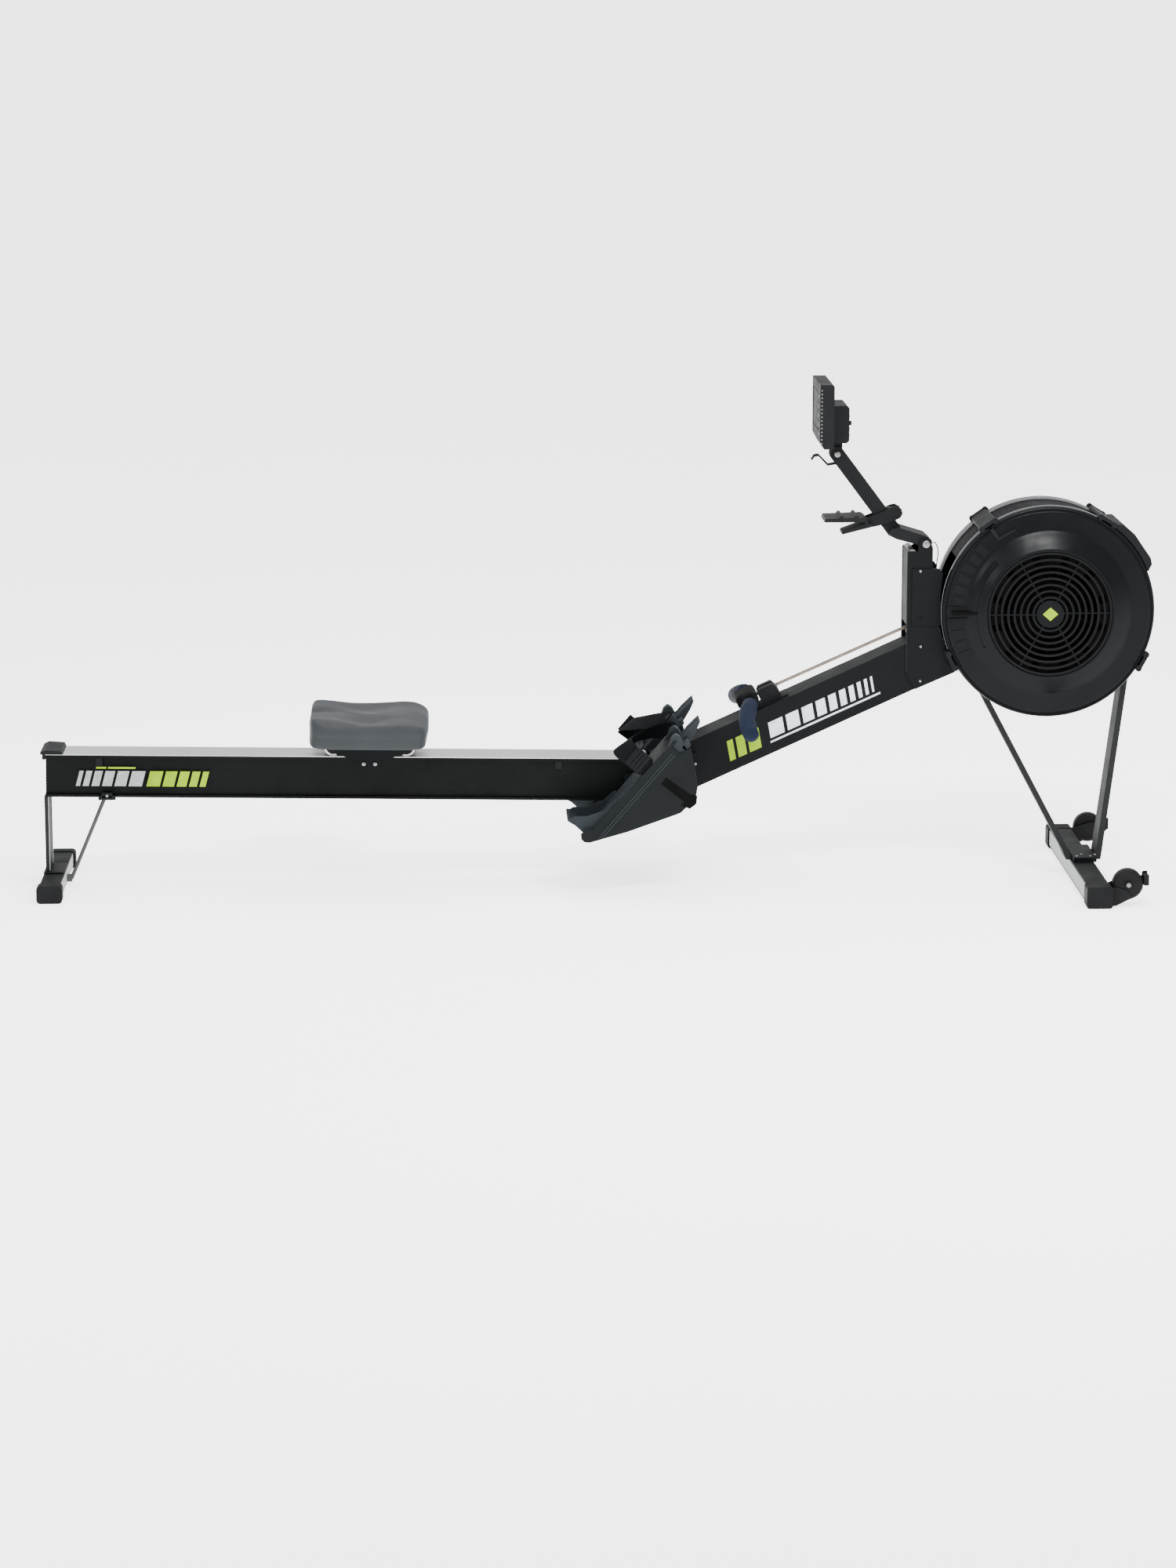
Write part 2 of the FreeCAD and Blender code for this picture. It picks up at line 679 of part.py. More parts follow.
def housing_clips():
    """Clips over both rims, two short ones beside the beam, and a flat carrying plate at the front."""
    clips = []
    for name, angle in CLIP_ANGLES.items():
        clips.append(rim_clip(f"clip_{name}", angle, 233.3, ("46", "172", "9"), "-84"))
    for side, low in (("near", "-84"), ("far", "54")):
        clips.append(rim_clip(f"clip_beam_{side}", 207, 233.3, ("40", "32", "9"), low))
    clips.append(rim_clip("carry_plate", 38.5, 240, ("92", "160", "5"), "-78"))
    clips.append(rim_clip("carry_foot", 22, 233.3, ("14", "160", "9"), "-78"))
    node("housing_clips", group("clips", clips), WHEEL_FRAME)


def rim_clip(name, angle, radius, size, low):
    """A slab standing on the rim at an angle: size is tangential, along Y and outwards."""
    tall = number(size[2])
    half = number(size[0]) / 2
    turn = math.radians(angle)

    def spot(outward, sideways):
        across = outward * math.cos(turn) - sideways * math.sin(turn)
        up = outward * math.sin(turn) + sideways * math.cos(turn)
        return (f"{across:.3f}", f"{up:.3f}")

    points = [spot(radius, half), spot(radius, -half), spot(radius + tall, -half + 5), spot(radius + tall, half - 5)]
    return slab(name, points, low, size[1])


def intake_grille():
    """Concentric guard rings and six spokes round the hub plate."""
    pieces = [ring("grille_hub", "hub_r", "shaft_r + 1", "-cover_near - cone_rise", "4")]
    for index in range(8):
        middle = f"(hub_r + 7 + {index} * ring_pitch)"
        pieces.append(ring(f"grille_ring_{index}", f"{middle} + ring_width / 2", f"{middle} - ring_width / 2",
                           "-cover_near - cone_rise", "3"))
    for index in range(6):
        spoke = box(f"grille_spoke_{index}", ("0", "0", "0"), ("intake_r - hub_r + 1", "3", "3"))
        turn = math.radians(60 * index)
        spoke.Placement = Placement(Vector(), Rotation(Vector(0, 1, 0), -60 * index))
        bind_base(spoke, (f"(hub_r - 2) * {math.cos(turn):.6f}", "-cover_near - cone_rise + 2",
                          f"(hub_r - 2) * {math.sin(turn):.6f}"))
        pieces.append(spoke)
    node("intake_grille", fuse("grille", pieces), WHEEL_FRAME)


def flywheel_axle():
    shaft = rod("shaft", "Y", "shaft_r", ("0", "-cover_near - 20", "0"), "cover_near + cover_far + 36")
    nut = rod("shaft_nut", "Y", "shaft_r + 5", ("0", "cover_far + 8.2", "0"), "9")
    node("flywheel_axle", fuse("axle", [shaft, nut]), WHEEL_FRAME)
    races = [ring(f"bearing_{name}", "bearing_r - fit", "shaft_r", low, "9")
             for name, low in (("near", "-63"), ("far", "-29"))]
    node("flywheel_bearings", group("bearings", races), WHEEL_FRAME)


def flywheel():
    """Hub, web, rim and a crown of fan blades."""
    body = doc.addObject("PartDesign::Body", "fan")
    profile = [
        ("-66", "bearing_r"),
        ("-16", "bearing_r"),
        ("-16", "bearing_r + 16"),
        ("-26", "bearing_r + 18"),
        ("-26", "fan_r - 20"),
        ("-16", "fan_r - 20"),
        ("-16", "fan_r - 12"),
        ("-32", "fan_r - 12"),
        ("-32", "bearing_r + 18"),
        ("-66", "bearing_r + 16"),
    ]
    sketch = outline(body, "YZ_Plane", [profile])
    turn = body.newObject("PartDesign::Revolution", "fan_turn")
    turn.Profile = sketch
    turn.ReferenceAxis = (sketch, ["H_Axis"])
    turn.Angle = 360
    doc.recompute()
    vane = body.newObject("Sketcher::SketchObject", "vane_sketch")
    support = next(item for item in body.Origin.OriginFeatures if item.Role == "XZ_Plane")
    vane.AttachmentSupport = [(support, "")]
    vane.MapMode = "FlatFace"
    vane.AttachmentOffset = Placement(Vector(0, 0, 31), Rotation())
    draw_loop(vane, [("70", "-1"), ("fan_r", "-1"), ("fan_r", "1"), ("70", "1")])
    blade = body.newObject("PartDesign::Pad", "vane_pad")
    blade.Profile = vane
    blade.Length = 31
    doc.recompute()
    crown = body.newObject("PartDesign::PolarPattern", "vane_crown")
    crown.Originals = [blade]
    crown.Axis = (sketch, ["H_Axis"])
    crown.Angle = 360
    bind(crown, Occurrences="fan_blades")
    body.Tip = crown
    node("flywheel", body, WHEEL_FRAME)


def sprocket():
    """Chain wheel with its one-way clutch drum beside it."""
    teeth = int(number("sprocket_teeth"))
    outer = number("sprocket_r") + 1.6
    root = number("sprocket_r") - 2.2
    points = []
    for index in range(teeth):
        for part, radius in ((0.0, root), (0.3, root), (0.5, outer), (0.65, outer)):
            turn = 2 * math.pi * (index + part) / teeth
            points.append((f"{radius * math.cos(turn):.4f}", f"{radius * math.sin(turn):.4f}"))
    wheel = slab("sprocket_teeth_disc", points, "-1.3", "2.6")
    drum = rod("clutch_drum", "Y", "bearing_r - 5", ("0", "-13", "0"), "25")
    bore = rod("clutch_bore", "Y", "shaft_r + fit", ("0", "-14", "0"), "27")
    node("sprocket", cut("sprocket_cut", fuse("sprocket_full", [wheel, drum]), bore), WHEEL_FRAME)


def damper():
    """Shutter ring behind the intake, turned by a lever that reaches through the cover's slot."""
    disc = ring("damper_disc", "134", "104", "-97", "2")
    windows = []
    for index in range(12):
        hole = box(f"damper_hole_{index}", ("0", "-98", "-8"), ("18", "4", "16"))
        turn = math.radians(30 * index + 15)
        hole.Placement = Placement(Vector(), Rotation(Vector(0, 1, 0), -(30 * index + 15)))
        corner = Vector(110 * math.cos(turn) + 8 * math.sin(turn), 0, 110 * math.sin(turn) - 8 * math.cos(turn))
        bind_base(hole, (f"{corner.x:.4f}", "-98", f"{corner.z:.4f}"))
        windows.append(hole)
    shutter = cut("damper_shutter", disc, fuse("damper_holes", windows))
    arm = box("damper_arm", ("-214", "-95.5", "-2"), ("84", "3", "4"))
    neck = box("damper_neck", ("-134", "-96", "-6"), ("8", "3.5", "12"))
    grip = box("damper_grip", ("-214", "-97", "-2.5"), ("64", "11", "5"))
    slim = cut("damper_grip_cut", grip, box("damper_grip_gap", ("-168", "-98", "-3"), ("20", "13", "6")))
    node("damper_lever", fuse("damper", [shutter, arm, neck, slim]), WHEEL_FRAME)


# ---------------------------------------------------------------- chain drive


def tangent_path(stops):
    """Edges of a line pulled tight round wheels: each stop is x, z and the wheel's radius, 0 at a free end."""
    edges = []
    last = None
    for (x0, z0, r0), (x1, z1, r1) in zip(stops, stops[1:]):
        gap = math.hypot(x1 - x0, z1 - z0)
        heading = math.atan2(z1 - z0, x1 - x0) - math.asin((r0 - r1) / gap)
        left = Vector(-math.sin(heading), 0, math.cos(heading))
        start = Vector(x0, 0, z0) + left * r0
        end = Vector(x1, 0, z1) + left * r1
        if last:
            old_left, old_end = last
            middle = old_left + left
            if old_left.dot(left) < -0.2:
                middle = Vector(math.cos(heading), 0, math.sin(heading)) * -1
            middle.normalize()
            edges.append(Part.Arc(old_end, Vector(x0, 0, z0) + middle * r0, start).toShape())
        edges.append(Part.LineSegment(start, end).toShape())
        last = (left, end)
    return edges


def in_frame(base, slope, along_it, above):
    """World x and z of a point in a tilted frame."""
    turn = math.radians(slope)
    across = number(base[0]) + along_it * math.cos(turn) - above * math.sin(turn)
    up = number(base[1]) + along_it * math.sin(turn) + above * math.cos(turn)
    return across, up


def swept(name, edges, section):
    """A section swept along edges; the shape is set from code because the path runs round wheels."""
    path = Part.Wire(edges)
    piece = doc.addObject("Part::Feature", name)
    piece.Shape = path.makePipeShell([section], True, False)
    return piece


def band_section(edges, low, width, tall):
    """A rectangle across the start of a path in the XZ plane."""
    start = edges[0].valueAt(edges[0].FirstParameter)
    heading = edges[0].tangentAt(edges[0].FirstParameter)
    side = Vector(-heading.z, 0, heading.x) * (tall / 2)
    spots = [start - side + Vector(0, low, 0), start + side + Vector(0, low, 0),
             start + side + Vector(0, low + width, 0), start - side + Vector(0, low + width, 0)]
    return Part.Wire([Part.LineSegment(spot, following).toShape()
                      for spot, following in zip(spots, spots[1:] + spots[:1])])


def chain():
    """Two strands of link plates: from the handle over the idler, round the sprocket and back into the beam."""
    start = in_frame(("handle_x", "handle_z"), number("chain_slope"), 58, 0)
    idler = (number("idler_x"), number("idler_z"), number("idler_r") + number("chain_height") / 2)
    wheel = (number("wheel_x"), number("wheel_z"), number("sprocket_r"))
    hook = in_frame(("beam_x", "beam_z"), number("beam_slope"), 560, -35)
    edges = tangent_path([(*start, 0), idler, wheel, (*hook, 0)])
    tall = number("chain_height")
    strands = [swept(f"strand_{name}", edges, band_section(edges, low, 1.3, tall))
               for name, low in (("left", 2.3), ("right", -3.6))]
    node("chain", group("chain_strands", strands))


def shock_cord():
    """Elastic cord that takes up the chain, doubled round a pulley inside the beam."""
    beam = ("beam_x", "beam_z")
    slope = number("beam_slope")
    start = in_frame(beam, slope, 556, -35)
    wheel = in_frame(beam, slope, *PULLEY_SPOT)
    anchor = in_frame(beam, slope, 610, -65)
    edges = tangent_path([(*start, 0), (*wheel, -15), (*anchor, 0)])
    heading = edges[0].tangentAt(0)
    spot = edges[0].valueAt(edges[0].FirstParameter)
    section = Part.Wire([Part.Circle(spot, heading, 3).toShape()])
    node("shock_cord", swept("cord", edges, section))
    groove = [("-6", "4 + fit"), ("6", "4 + fit"), ("6", "16"), ("3.4", "11.7"), ("-3.4", "11.7"), ("-6", "16")]
    node("return_pulley", turned("pulley", groove), shift=(f"{wheel[0]:.4f}", "0", f"{wheel[1]:.4f}"))


def chain_idler():
    profile = [("-5", "axle_r + fit"), ("5", "axle_r + fit"), ("5", "idler_r + 1.5"), ("4", "idler_r + 1.5"),
               ("4", "idler_r - 0.3"), ("-4", "idler_r - 0.3"), ("-4", "idler_r + 1.5"), ("-5", "idler_r + 1.5")]
    node("chain_idler", turned("idler", profile), shift=("idler_x", "0", "idler_z"))


# ---------------------------------------------------------------- handle


def handle_bar():
    """Steel core bent back at both ends, with a moulded centre block."""
    block = box("handle_block", ("-18", "-44", "-15"), ("36", "88", "30"))
    soft = rounded("handle_block_round", block, 8, along("Y"))
    half_path = [Vector(0, 0, 0), Vector(0, 62, 0), Vector(-26, 222, -36)]
    pieces = [soft]
    for side, sign in (("left", 1), ("right", -1)):
        spots = [Vector(spot.x, spot.y * sign, spot.z) for spot in half_path]
        pieces.append(straight_rod(f"core_in_{side}", spots[0], spots[1], "grip_core"))
        pieces.append(straight_rod(f"core_out_{side}", spots[1], spots[2], "grip_core"))
        knuckle = doc.addObject("Part::Sphere", f"knuckle_{side}")
        bind(knuckle, Radius="grip_core")
        knuckle.Placement = Placement(spots[1], Rotation())
        pieces.append(knuckle)
    node("handle_bar", fuse("handle_core", pieces), HANDLE_FRAME)
    grips = []
    for side, sign in (("left", 1), ("right", -1)):
        inner = Vector(0, 62 * sign, 0)
        outer = Vector(-26, 222 * sign, -36)
        heading = (outer - inner).normalize()
        sleeve = straight_rod(f"grip_{side}", inner + heading * 8, outer + heading * 4, "grip_r")
        hole = straight_rod(f"grip_hole_{side}", inner + heading * 7, outer, "grip_core")
        grips.append(cut(f"grip_cut_{side}", sleeve, hole))
    node("handle_grips", group("grips", grips), HANDLE_FRAME)


def straight_rod(name, start, end, radius):
    """A round bar between two points."""
    line = end - start
    bar = doc.addObject("Part::Cylinder", name)
    bind(bar, Radius=radius, Height=f"{line.Length}")
    bar.Placement = Placement(start, Rotation(Vector(0, 0, 1), line))
    return bar


def chain_shackle():
    """Swivel fork between the handle block and the chain's first pin."""
    stem = rod("shackle_stem", "X", "5", ("18", "0", "0"), "14")
    yoke = box("shackle_yoke", ("30", "-7", "-5"), ("8", "14", "10"))
    tines = [box(f"shackle_tine_{side}", ("36", low_side(sign, "4.2", "2.8"), "-4"), ("24", "2.8", "8"))
             for side, sign in (("left", 1), ("right", -1))]
    node("chain_shackle", fuse("shackle", [stem, yoke] + tines), HANDLE_FRAME)


# ---------------------------------------------------------------- monitor


def monitor_arm():
    """Cranked arm: a wide root on the pivot, a bar that leans back, two ears at the top and a cable hook."""
    root = corners((731, 748), (734, 764), (722, 774), (664, 792), (646, 790), (640, 776), (656, 768), (700, 756),
                   (712, 748))
    wide = slab("arm_root", root, "-40", "80")
    low = (655, 781)
    high = (number("arm_top_x"), number("arm_top_z"))
    gap = math.hypot(low[0] - high[0], high[1] - low[1])
    lean = Vector((high[0] - low[0]) / gap, 0, (high[1] - low[1]) / gap)
    side = Vector(lean.z, 0, -lean.x)

    def spot(up, across):
        return (f"{low[0] + lean.x * up + side.x * across:.3f}", f"{low[1] + lean.z * up + side.z * across:.3f}")

    bar = slab("arm_bar", [spot(0, -16), spot(0, 16), spot(gap - 20, 16), spot(gap - 20, -16)], "-16", "32")
    ears = []
    for name, sign in (("left", 1), ("right", -1)):
        low_y = low_side(sign, "9", "7")
        ears.append(slab(f"arm_ear_{name}", [spot(gap - 24, -16), spot(gap - 24, 16), spot(gap, 16), spot(gap, -16)],
                         low_y, "7"))
        ears.append(rod(f"arm_boss_{name}", "Y", "16", ("arm_top_x", low_y, "arm_top_z"), "7"))
        ears.append(rod(f"arm_bolt_{name}", "Y", "6", ("arm_top_x", low_side(sign, "15", "5"), "arm_top_z"), "5"))
    ears.append(rod("arm_top_pin", "Y", "5", ("arm_top_x", "-16", "arm_top_z"), "32"))
    hook = corners((530, 934), (508, 930), (486, 952), (476, 950), (470, 940), (472, 938), (478, 946), (486, 947),
                   (506, 926), (532, 930))
    ears.append(slab("arm_hook", hook, "-8", "16"))
    lug = slab("arm_lug", corners((630, 810), (660, 811), (668, 818), (668, 828), (660, 834), (618, 832)), "-12", "24")
    bores = [rod("arm_bore", "Y", "6 + fit", ("arm_x", "-41", "arm_z"), "82"),
             rod("lug_bore", "Y", "4 + fit", ("holder_x", "-13", "holder_z"), "26")]
    node("monitor_arm", cut("arm_bored", fuse("arm_full", [wide, bar, lug] + ears), fuse("arm_bores", bores)))


def device_holder():
    """Folding rest for a phone: two cheeks on a pin behind the arm, an upper tray and a lower prong."""
    cheek = corners((657, 838), (668, 832), (671, 822), (666, 812), (640, 800), (604, 792), (590, 800), (592, 812),
                    (628, 826), (646, 836))
    pieces = []
    for side, sign in (("left", 1), ("right", -1)):
        pieces.append(slab(f"holder_cheek_{side}", cheek, low_side(sign, "16.6", "4"), "4"))
    pieces.append(rod("holder_pin", "Y", "4", ("holder_x", "-22", "holder_z"), "44"))
    tray = corners((498, 806), (500, 814), (530, 815), (533, 820), (538, 820), (540, 815), (562, 816), (565, 821),
                   (570, 821), (572, 816), (584, 817), (592, 812), (592, 800), (585, 806))
    pieces.append(slab("holder_tray", tray, "-42", "84"))
    prong = corners((538, 777), (538, 783), (592, 803), (602, 800), (602, 793))
    pieces.append(slab("holder_prong", prong, "-28", "56"))
    node("device_holder", fuse("holder_full_body", pieces))


def monitor_case():
    front = [
        ("monitor_front", "monitor_high"),
        ("monitor_front + monitor_depth - 3", "monitor_high"),
        ("monitor_front + monitor_depth", "monitor_high - 4"),
        ("monitor_front + monitor_depth", "monitor_low"),
        ("monitor_front + 9", "monitor_low"),
        ("monitor_front", "monitor_low + 18"),
    ]
    panel = slab("case_panel", front, "-monitor_half", "2 * monitor_half")
    back = slab("case_back", corners((511, 982), (543, 982), (548, 988), (548, 1058), (543, 1063), (511, 1063)),
                "-58", "116")
    knob = rod("case_knob", "X", "5", ("547", "0", "1019"), "11")
    lug = slab("case_lug", corners((517, 984), (538, 984), (538, 952), (533, 942), (520, 942), (517, 952)),
               "-8.6", "17.2")
    whole = fuse("case_solid", [panel, back, knob, lug])
    hollow = box("case_hollow", ("monitor_front + 9", "-monitor_half + 4", "monitor_low + 8"),
                 ("monitor_depth - 12", "2 * monitor_half - 8", "124"))
    room = box("case_room", ("511", "-54", "990"), ("33", "108", "68"))
    window = box("case_window", ("monitor_front - 1", "-56", "1012"), ("3", "132", "78"))
    lead = rod("case_lead", "Z", "4", ("505", "0", "960"), "32")
    bore = rod("case_pin_bore", "Y", "5 + fit", ("arm_top_x", "-10", "arm_top_z"), "20")
    keys = [rod(f"key_bore_{index}", "X", "key_r + 0.15", ("monitor_front - 1", "-75", key_height(index)), "12")
            for index in range(5)]
    node("monitor_case", cut("case_cut", whole, fuse("case_tools", [hollow, room, window, lead, bore] + keys)))
    node("monitor_screen", box("screen_glass", ("monitor_front + 0.4", "-55.9", "1012.1"), ("1.5", "131.8", "77.8")))


def key_height(index):
    return f"(monitor_low + 33 + {index} * key_pitch)"


def monitor_keys():
    for index in range(5):
        cap = rod(f"key_cap_{index}", "X", "key_r", ("monitor_front - 2.2", "-75", key_height(index)), "9")
        node(f"monitor_key_{index + 1}", cap)


def sensor_cable():
    """Pickup lead that loops along the upright's back edge, from the pivot down to the tail plate."""
    side = -number("plate_gap + plate_thick / 2")
    route = ((731.4, 760.4), (739, 763), (745, 752), (746.5, 735), (744, 720), (743, 704.4))
    spots = [Vector(across, side, up) for across, up in route]
    edges = smooth_run(spots)
    spot = edges[0].valueAt(edges[0].FirstParameter)
    section = Part.Wire([Part.Circle(spot, edges[0].tangentAt(edges[0].FirstParameter), 1.2).toShape()])
    node("sensor_cable", swept("cable", edges, section))


def smooth_run(spots):
    """Straight runs joined by tangent arcs through a list of points."""
    edges = []
    start = spots[0]
    for before, corner, after in zip(spots, spots[1:], spots[2:]):
        inward = (corner - before).normalize()
        outward = (after - corner).normalize()
        turn = inward.getAngle(outward)
        reach = 0.45 * min((corner - before).Length, (after - corner).Length)
        radius = reach / math.tan(turn / 2)
        print(f"cable arc radius {radius:.1f} mm")
        first = corner - inward * reach
        last = corner + outward * reach
        middle = corner + (outward - inward).normalize() * radius * (1 / math.cos(turn / 2) - 1)
        edges.append(Part.LineSegment(start, first).toShape())
        edges.append(Part.Arc(first, middle, last).toShape())
        start = last
    edges.append(Part.LineSegment(start, spots[-1]).toShape())
    return edges


# ---------------------------------------------------------------- legs and front foot


def front_legs():
    rear = corners((1056.8, 47), (1046, 47), (847.5, 419.5), (865.5, 411.5), (1056.8, 52.6))
    tab = corners((1045, 44), (1052.6, 44), (1052.6, 56), (1039, 72), (1034, 70))
    node("front_leg_rear", fuse("leg_rear", [slab("leg_rear_bar", rear, "-30", "60"),
                                             slab("leg_rear_tab", tab, "-30", "60")]))
    front = corners((1109, 44), (1122, 44), (1173.5, 460), (1160.5, 462))
    saddle = turned("saddle_strip", corners((-29, 228.4), (29, 228.4), (29, 231.4), (-29, 231.4)), "108")
    bind_frame(saddle, WHEEL_FRAME[0], "90 - 322")
    node("front_leg_front", fuse("leg_front", [slab("leg_front_bar", front, "-30", "60"), saddle]))


def front_foot():
    bar = box("front_bar", ("front_foot_x - 24", "-262", "5"), ("48", "524", "42"))
    hollow = box("front_hollow", ("front_foot_x - 21", "-263", "8"), ("42", "526", "36"))
    plate = box("front_plate", ("front_foot_x - 20", "-64", "46"), ("51", "128", "10"))
    node("front_foot", cut("front_foot_cut", fuse("front_foot_full", [bar, plate]), hollow))

    def cap(side, sign):
        low = low_side(sign, "262.2", "42.8")
        block = box(f"front_cap_block_{side}", ("front_foot_x - 28", low, "0"), ("56", "42.8", "48"))
        soft = rounded(f"front_cap_round_{side}", block, 6, along("Y"))
        arm = slab(f"caster_arm_{side}", corners((1098, 24), (1126, 30), (1180, 42), (1186, 52), (1186, 72),
                                                 (1176, 72), (1174, 62), (1141, 62), (1098, 46)),
                   low_side(sign, "254.5", "4"), "4")
        bump = box(f"caster_guard_{side}", ("1175.5", low_side(sign, "255", "30"), "46"), ("10.5", "30", "22"))
        reach = box(f"cap_reach_{side}", ("1090", low_side(sign, "254.5", "12"), "6"), ("14.5", "12", "40"))
        pin = rod(f"caster_pin_{side}", "Y", "5", ("caster_x", low_side(sign, "256", "32"), "caster_z"), "32")
        head = rod(f"caster_head_{side}", "Y", "7.5", ("caster_x", low_side(sign, "287.4", "3"), "caster_z"), "3")
        notch = box(f"cap_notch_{side}", ("front_foot_x - 24.2", low_side(sign, "250", "12.1"), "4"),
                    ("48.4", "12.1", "44"))
        return cut(f"front_cap_{side}", fuse(f"front_cap_all_{side}", [soft, arm, bump, reach, pin, head]), notch)

    node("front_foot_caps", group("front_caps", both_sides(cap)))


def caster_wheel(side, sign):
    low = low_side(sign, "261", "25")
    high = f"({low}) + 25"
    profile = [
        (low, "5 + fit"),
        (high, "5 + fit"),
        (high, "caster_r - 4"),
        (f"{high} - 4", "caster_r"),
        (f"{low} + 4", "caster_r"),
        (low, "caster_r - 4"),
    ]
    node(f"caster_wheel_{side}", turned(f"caster_{side}", profile), shift=("caster_x", "0", "caster_z"))


# ---------------------------------------------------------------- build, check and write


def build():
    fill_sheet()
    monorail()
    rail_stops()
    rail_end_cap()
    rear_leg_and_foot()
    rear_brace()
    seat_pad()
    seat_carriage()
    seat_rollers()
    main_beam()
    rail_socket()
    frame_lock()
    upright_bracket()
    frame_bolts()
    handle_holder()
    footrests()
    cover_right()
    cover_left()
    housing_screen()
    housing_clips()
    intake_grille()
    flywheel_axle()
    flywheel()
    sprocket()
    damper()
    chain()
    shock_cord()
    chain_idler()
    handle_bar()
    chain_shackle()
    monitor_arm()
    device_holder()
    monitor_case()
    monitor_keys()
    sensor_cable()
    front_legs()
    front_foot()
    for side, sign in (("left", 1), ("right", -1)):
        caster_wheel(side, sign)
    doc.recompute()


def check():
    for thing in doc.Objects:
        if "Invalid" in thing.State or "Error" in thing.State:
            raise RuntimeError(f"{thing.Label} failed: {thing.State}")
    for piece in nodes:
        if piece.Shape.isNull() or not piece.Shape.isValid() or not piece.Shape.Solids:
            raise RuntimeError(f"{piece.Label} has no valid solid")


def write():
    os.makedirs("parts", exist_ok=True)
    for piece in nodes:
        piece.Shape.exportStep(f"parts/{piece.Label}.step")
        size = piece.Shape.BoundBox
        print(f"{piece.Label}: {len(piece.Shape.Solids)} solids, {size.XMin:.1f}..{size.XMax:.1f} "
              f"{size.YMin:.1f}..{size.YMax:.1f} {size.ZMin:.1f}..{size.ZMax:.1f}")
    print(f"{len(nodes)} nodes")


build()
check()
write()
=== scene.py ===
"""Looks of the rowing machine: camera, studio, materials and the detailed pieces, in the CAD model's frame.

Lengths in the lists below are millimetres, as in the CAD model; MM turns them into metres.
"""
import json
import math

import bmesh
import bpy
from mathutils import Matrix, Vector


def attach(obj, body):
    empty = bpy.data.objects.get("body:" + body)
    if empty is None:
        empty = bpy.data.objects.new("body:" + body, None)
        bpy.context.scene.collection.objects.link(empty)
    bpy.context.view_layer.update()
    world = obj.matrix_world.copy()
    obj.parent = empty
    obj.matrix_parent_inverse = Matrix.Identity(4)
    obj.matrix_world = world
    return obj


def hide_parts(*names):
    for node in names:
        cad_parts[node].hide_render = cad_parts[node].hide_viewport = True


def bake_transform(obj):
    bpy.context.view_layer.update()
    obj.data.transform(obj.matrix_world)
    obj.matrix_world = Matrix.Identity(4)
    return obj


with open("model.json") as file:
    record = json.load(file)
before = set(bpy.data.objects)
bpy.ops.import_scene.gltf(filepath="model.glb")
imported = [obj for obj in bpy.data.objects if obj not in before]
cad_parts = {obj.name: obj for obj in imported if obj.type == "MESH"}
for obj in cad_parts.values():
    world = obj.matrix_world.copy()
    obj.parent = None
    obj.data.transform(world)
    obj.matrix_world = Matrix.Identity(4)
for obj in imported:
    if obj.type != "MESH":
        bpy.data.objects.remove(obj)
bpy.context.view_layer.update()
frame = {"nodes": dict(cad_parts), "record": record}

NODES = frame["nodes"]
MM = 0.001

# ---------------------------------------------------------------- camera, light and floor

CAMERA_PLACE = (-0.3375, -8.6798, 2.1308)
CAMERA_AIM = (0.0363, 0.9825, -0.1826)
LENS = 92.26
LENS_SHIFT = -0.085
WORLD_STRENGTH = 1.6
FLOOR_GLOW = 2.0
FLOOR_CORNERS = ((-250, -60, 0), (250, -60, 0), (250, 440, 0), (-250, 440, 0))


def make_camera():
    data = bpy.data.cameras.new("camera")
    data.lens = LENS
    data.sensor_width = 36
    data.shift_y = LENS_SHIFT
    data.clip_end = 1000
    camera = bpy.data.objects.new("camera", data)
    camera.location = CAMERA_PLACE
    camera.rotation_euler = Vector(CAMERA_AIM).to_track_quat("-Z", "Y").to_euler()
    bpy.context.collection.objects.link(camera)
    bpy.context.scene.camera = camera


def area_light(name, place, target, size, power):
    data = bpy.data.lights.new(name, "AREA")
    data.shape = "RECTANGLE"
    data.size, data.size_y = size
    data.energy = power
    lamp = bpy.data.objects.new(name, data)
    lamp.location = place
    aim = Vector(target) - Vector(place)
    lamp.rotation_euler = aim.to_track_quat("-Z", "Y").to_euler()
    bpy.context.collection.objects.link(lamp)


def make_studio():
    area_light("overhead", (0.2, 0.3, 3.6), (0, 0, 0), (4.5, 2.2), 120)
    area_light("key", (-3.2, -3.6, 3.0), (0, 0, 0.4), (2.2, 1.6), 110)
    area_light("rim", (3.4, 2.2, 2.2), (0.4, 0, 0.5), (1.6, 1.6), 35)
    area_light("cover_glint", (1.05, -2.4, 3.3), (0.99, 0, 0.7), (1.4, 0.5), 150)
    world = bpy.data.worlds.new("studio")
    world.use_nodes = True
    background = world.node_tree.nodes["Background"]
    background.inputs["Color"].default_value = (1, 1, 1, 1)
    background.inputs["Strength"].default_value = WORLD_STRENGTH
    bpy.context.scene.world = world
    floor = mesh_object("floor", FLOOR_CORNERS, [(0, 1, 2, 3)])
    floor.data.materials.append(PALETTE["floor"])


# ---------------------------------------------------------------- materials


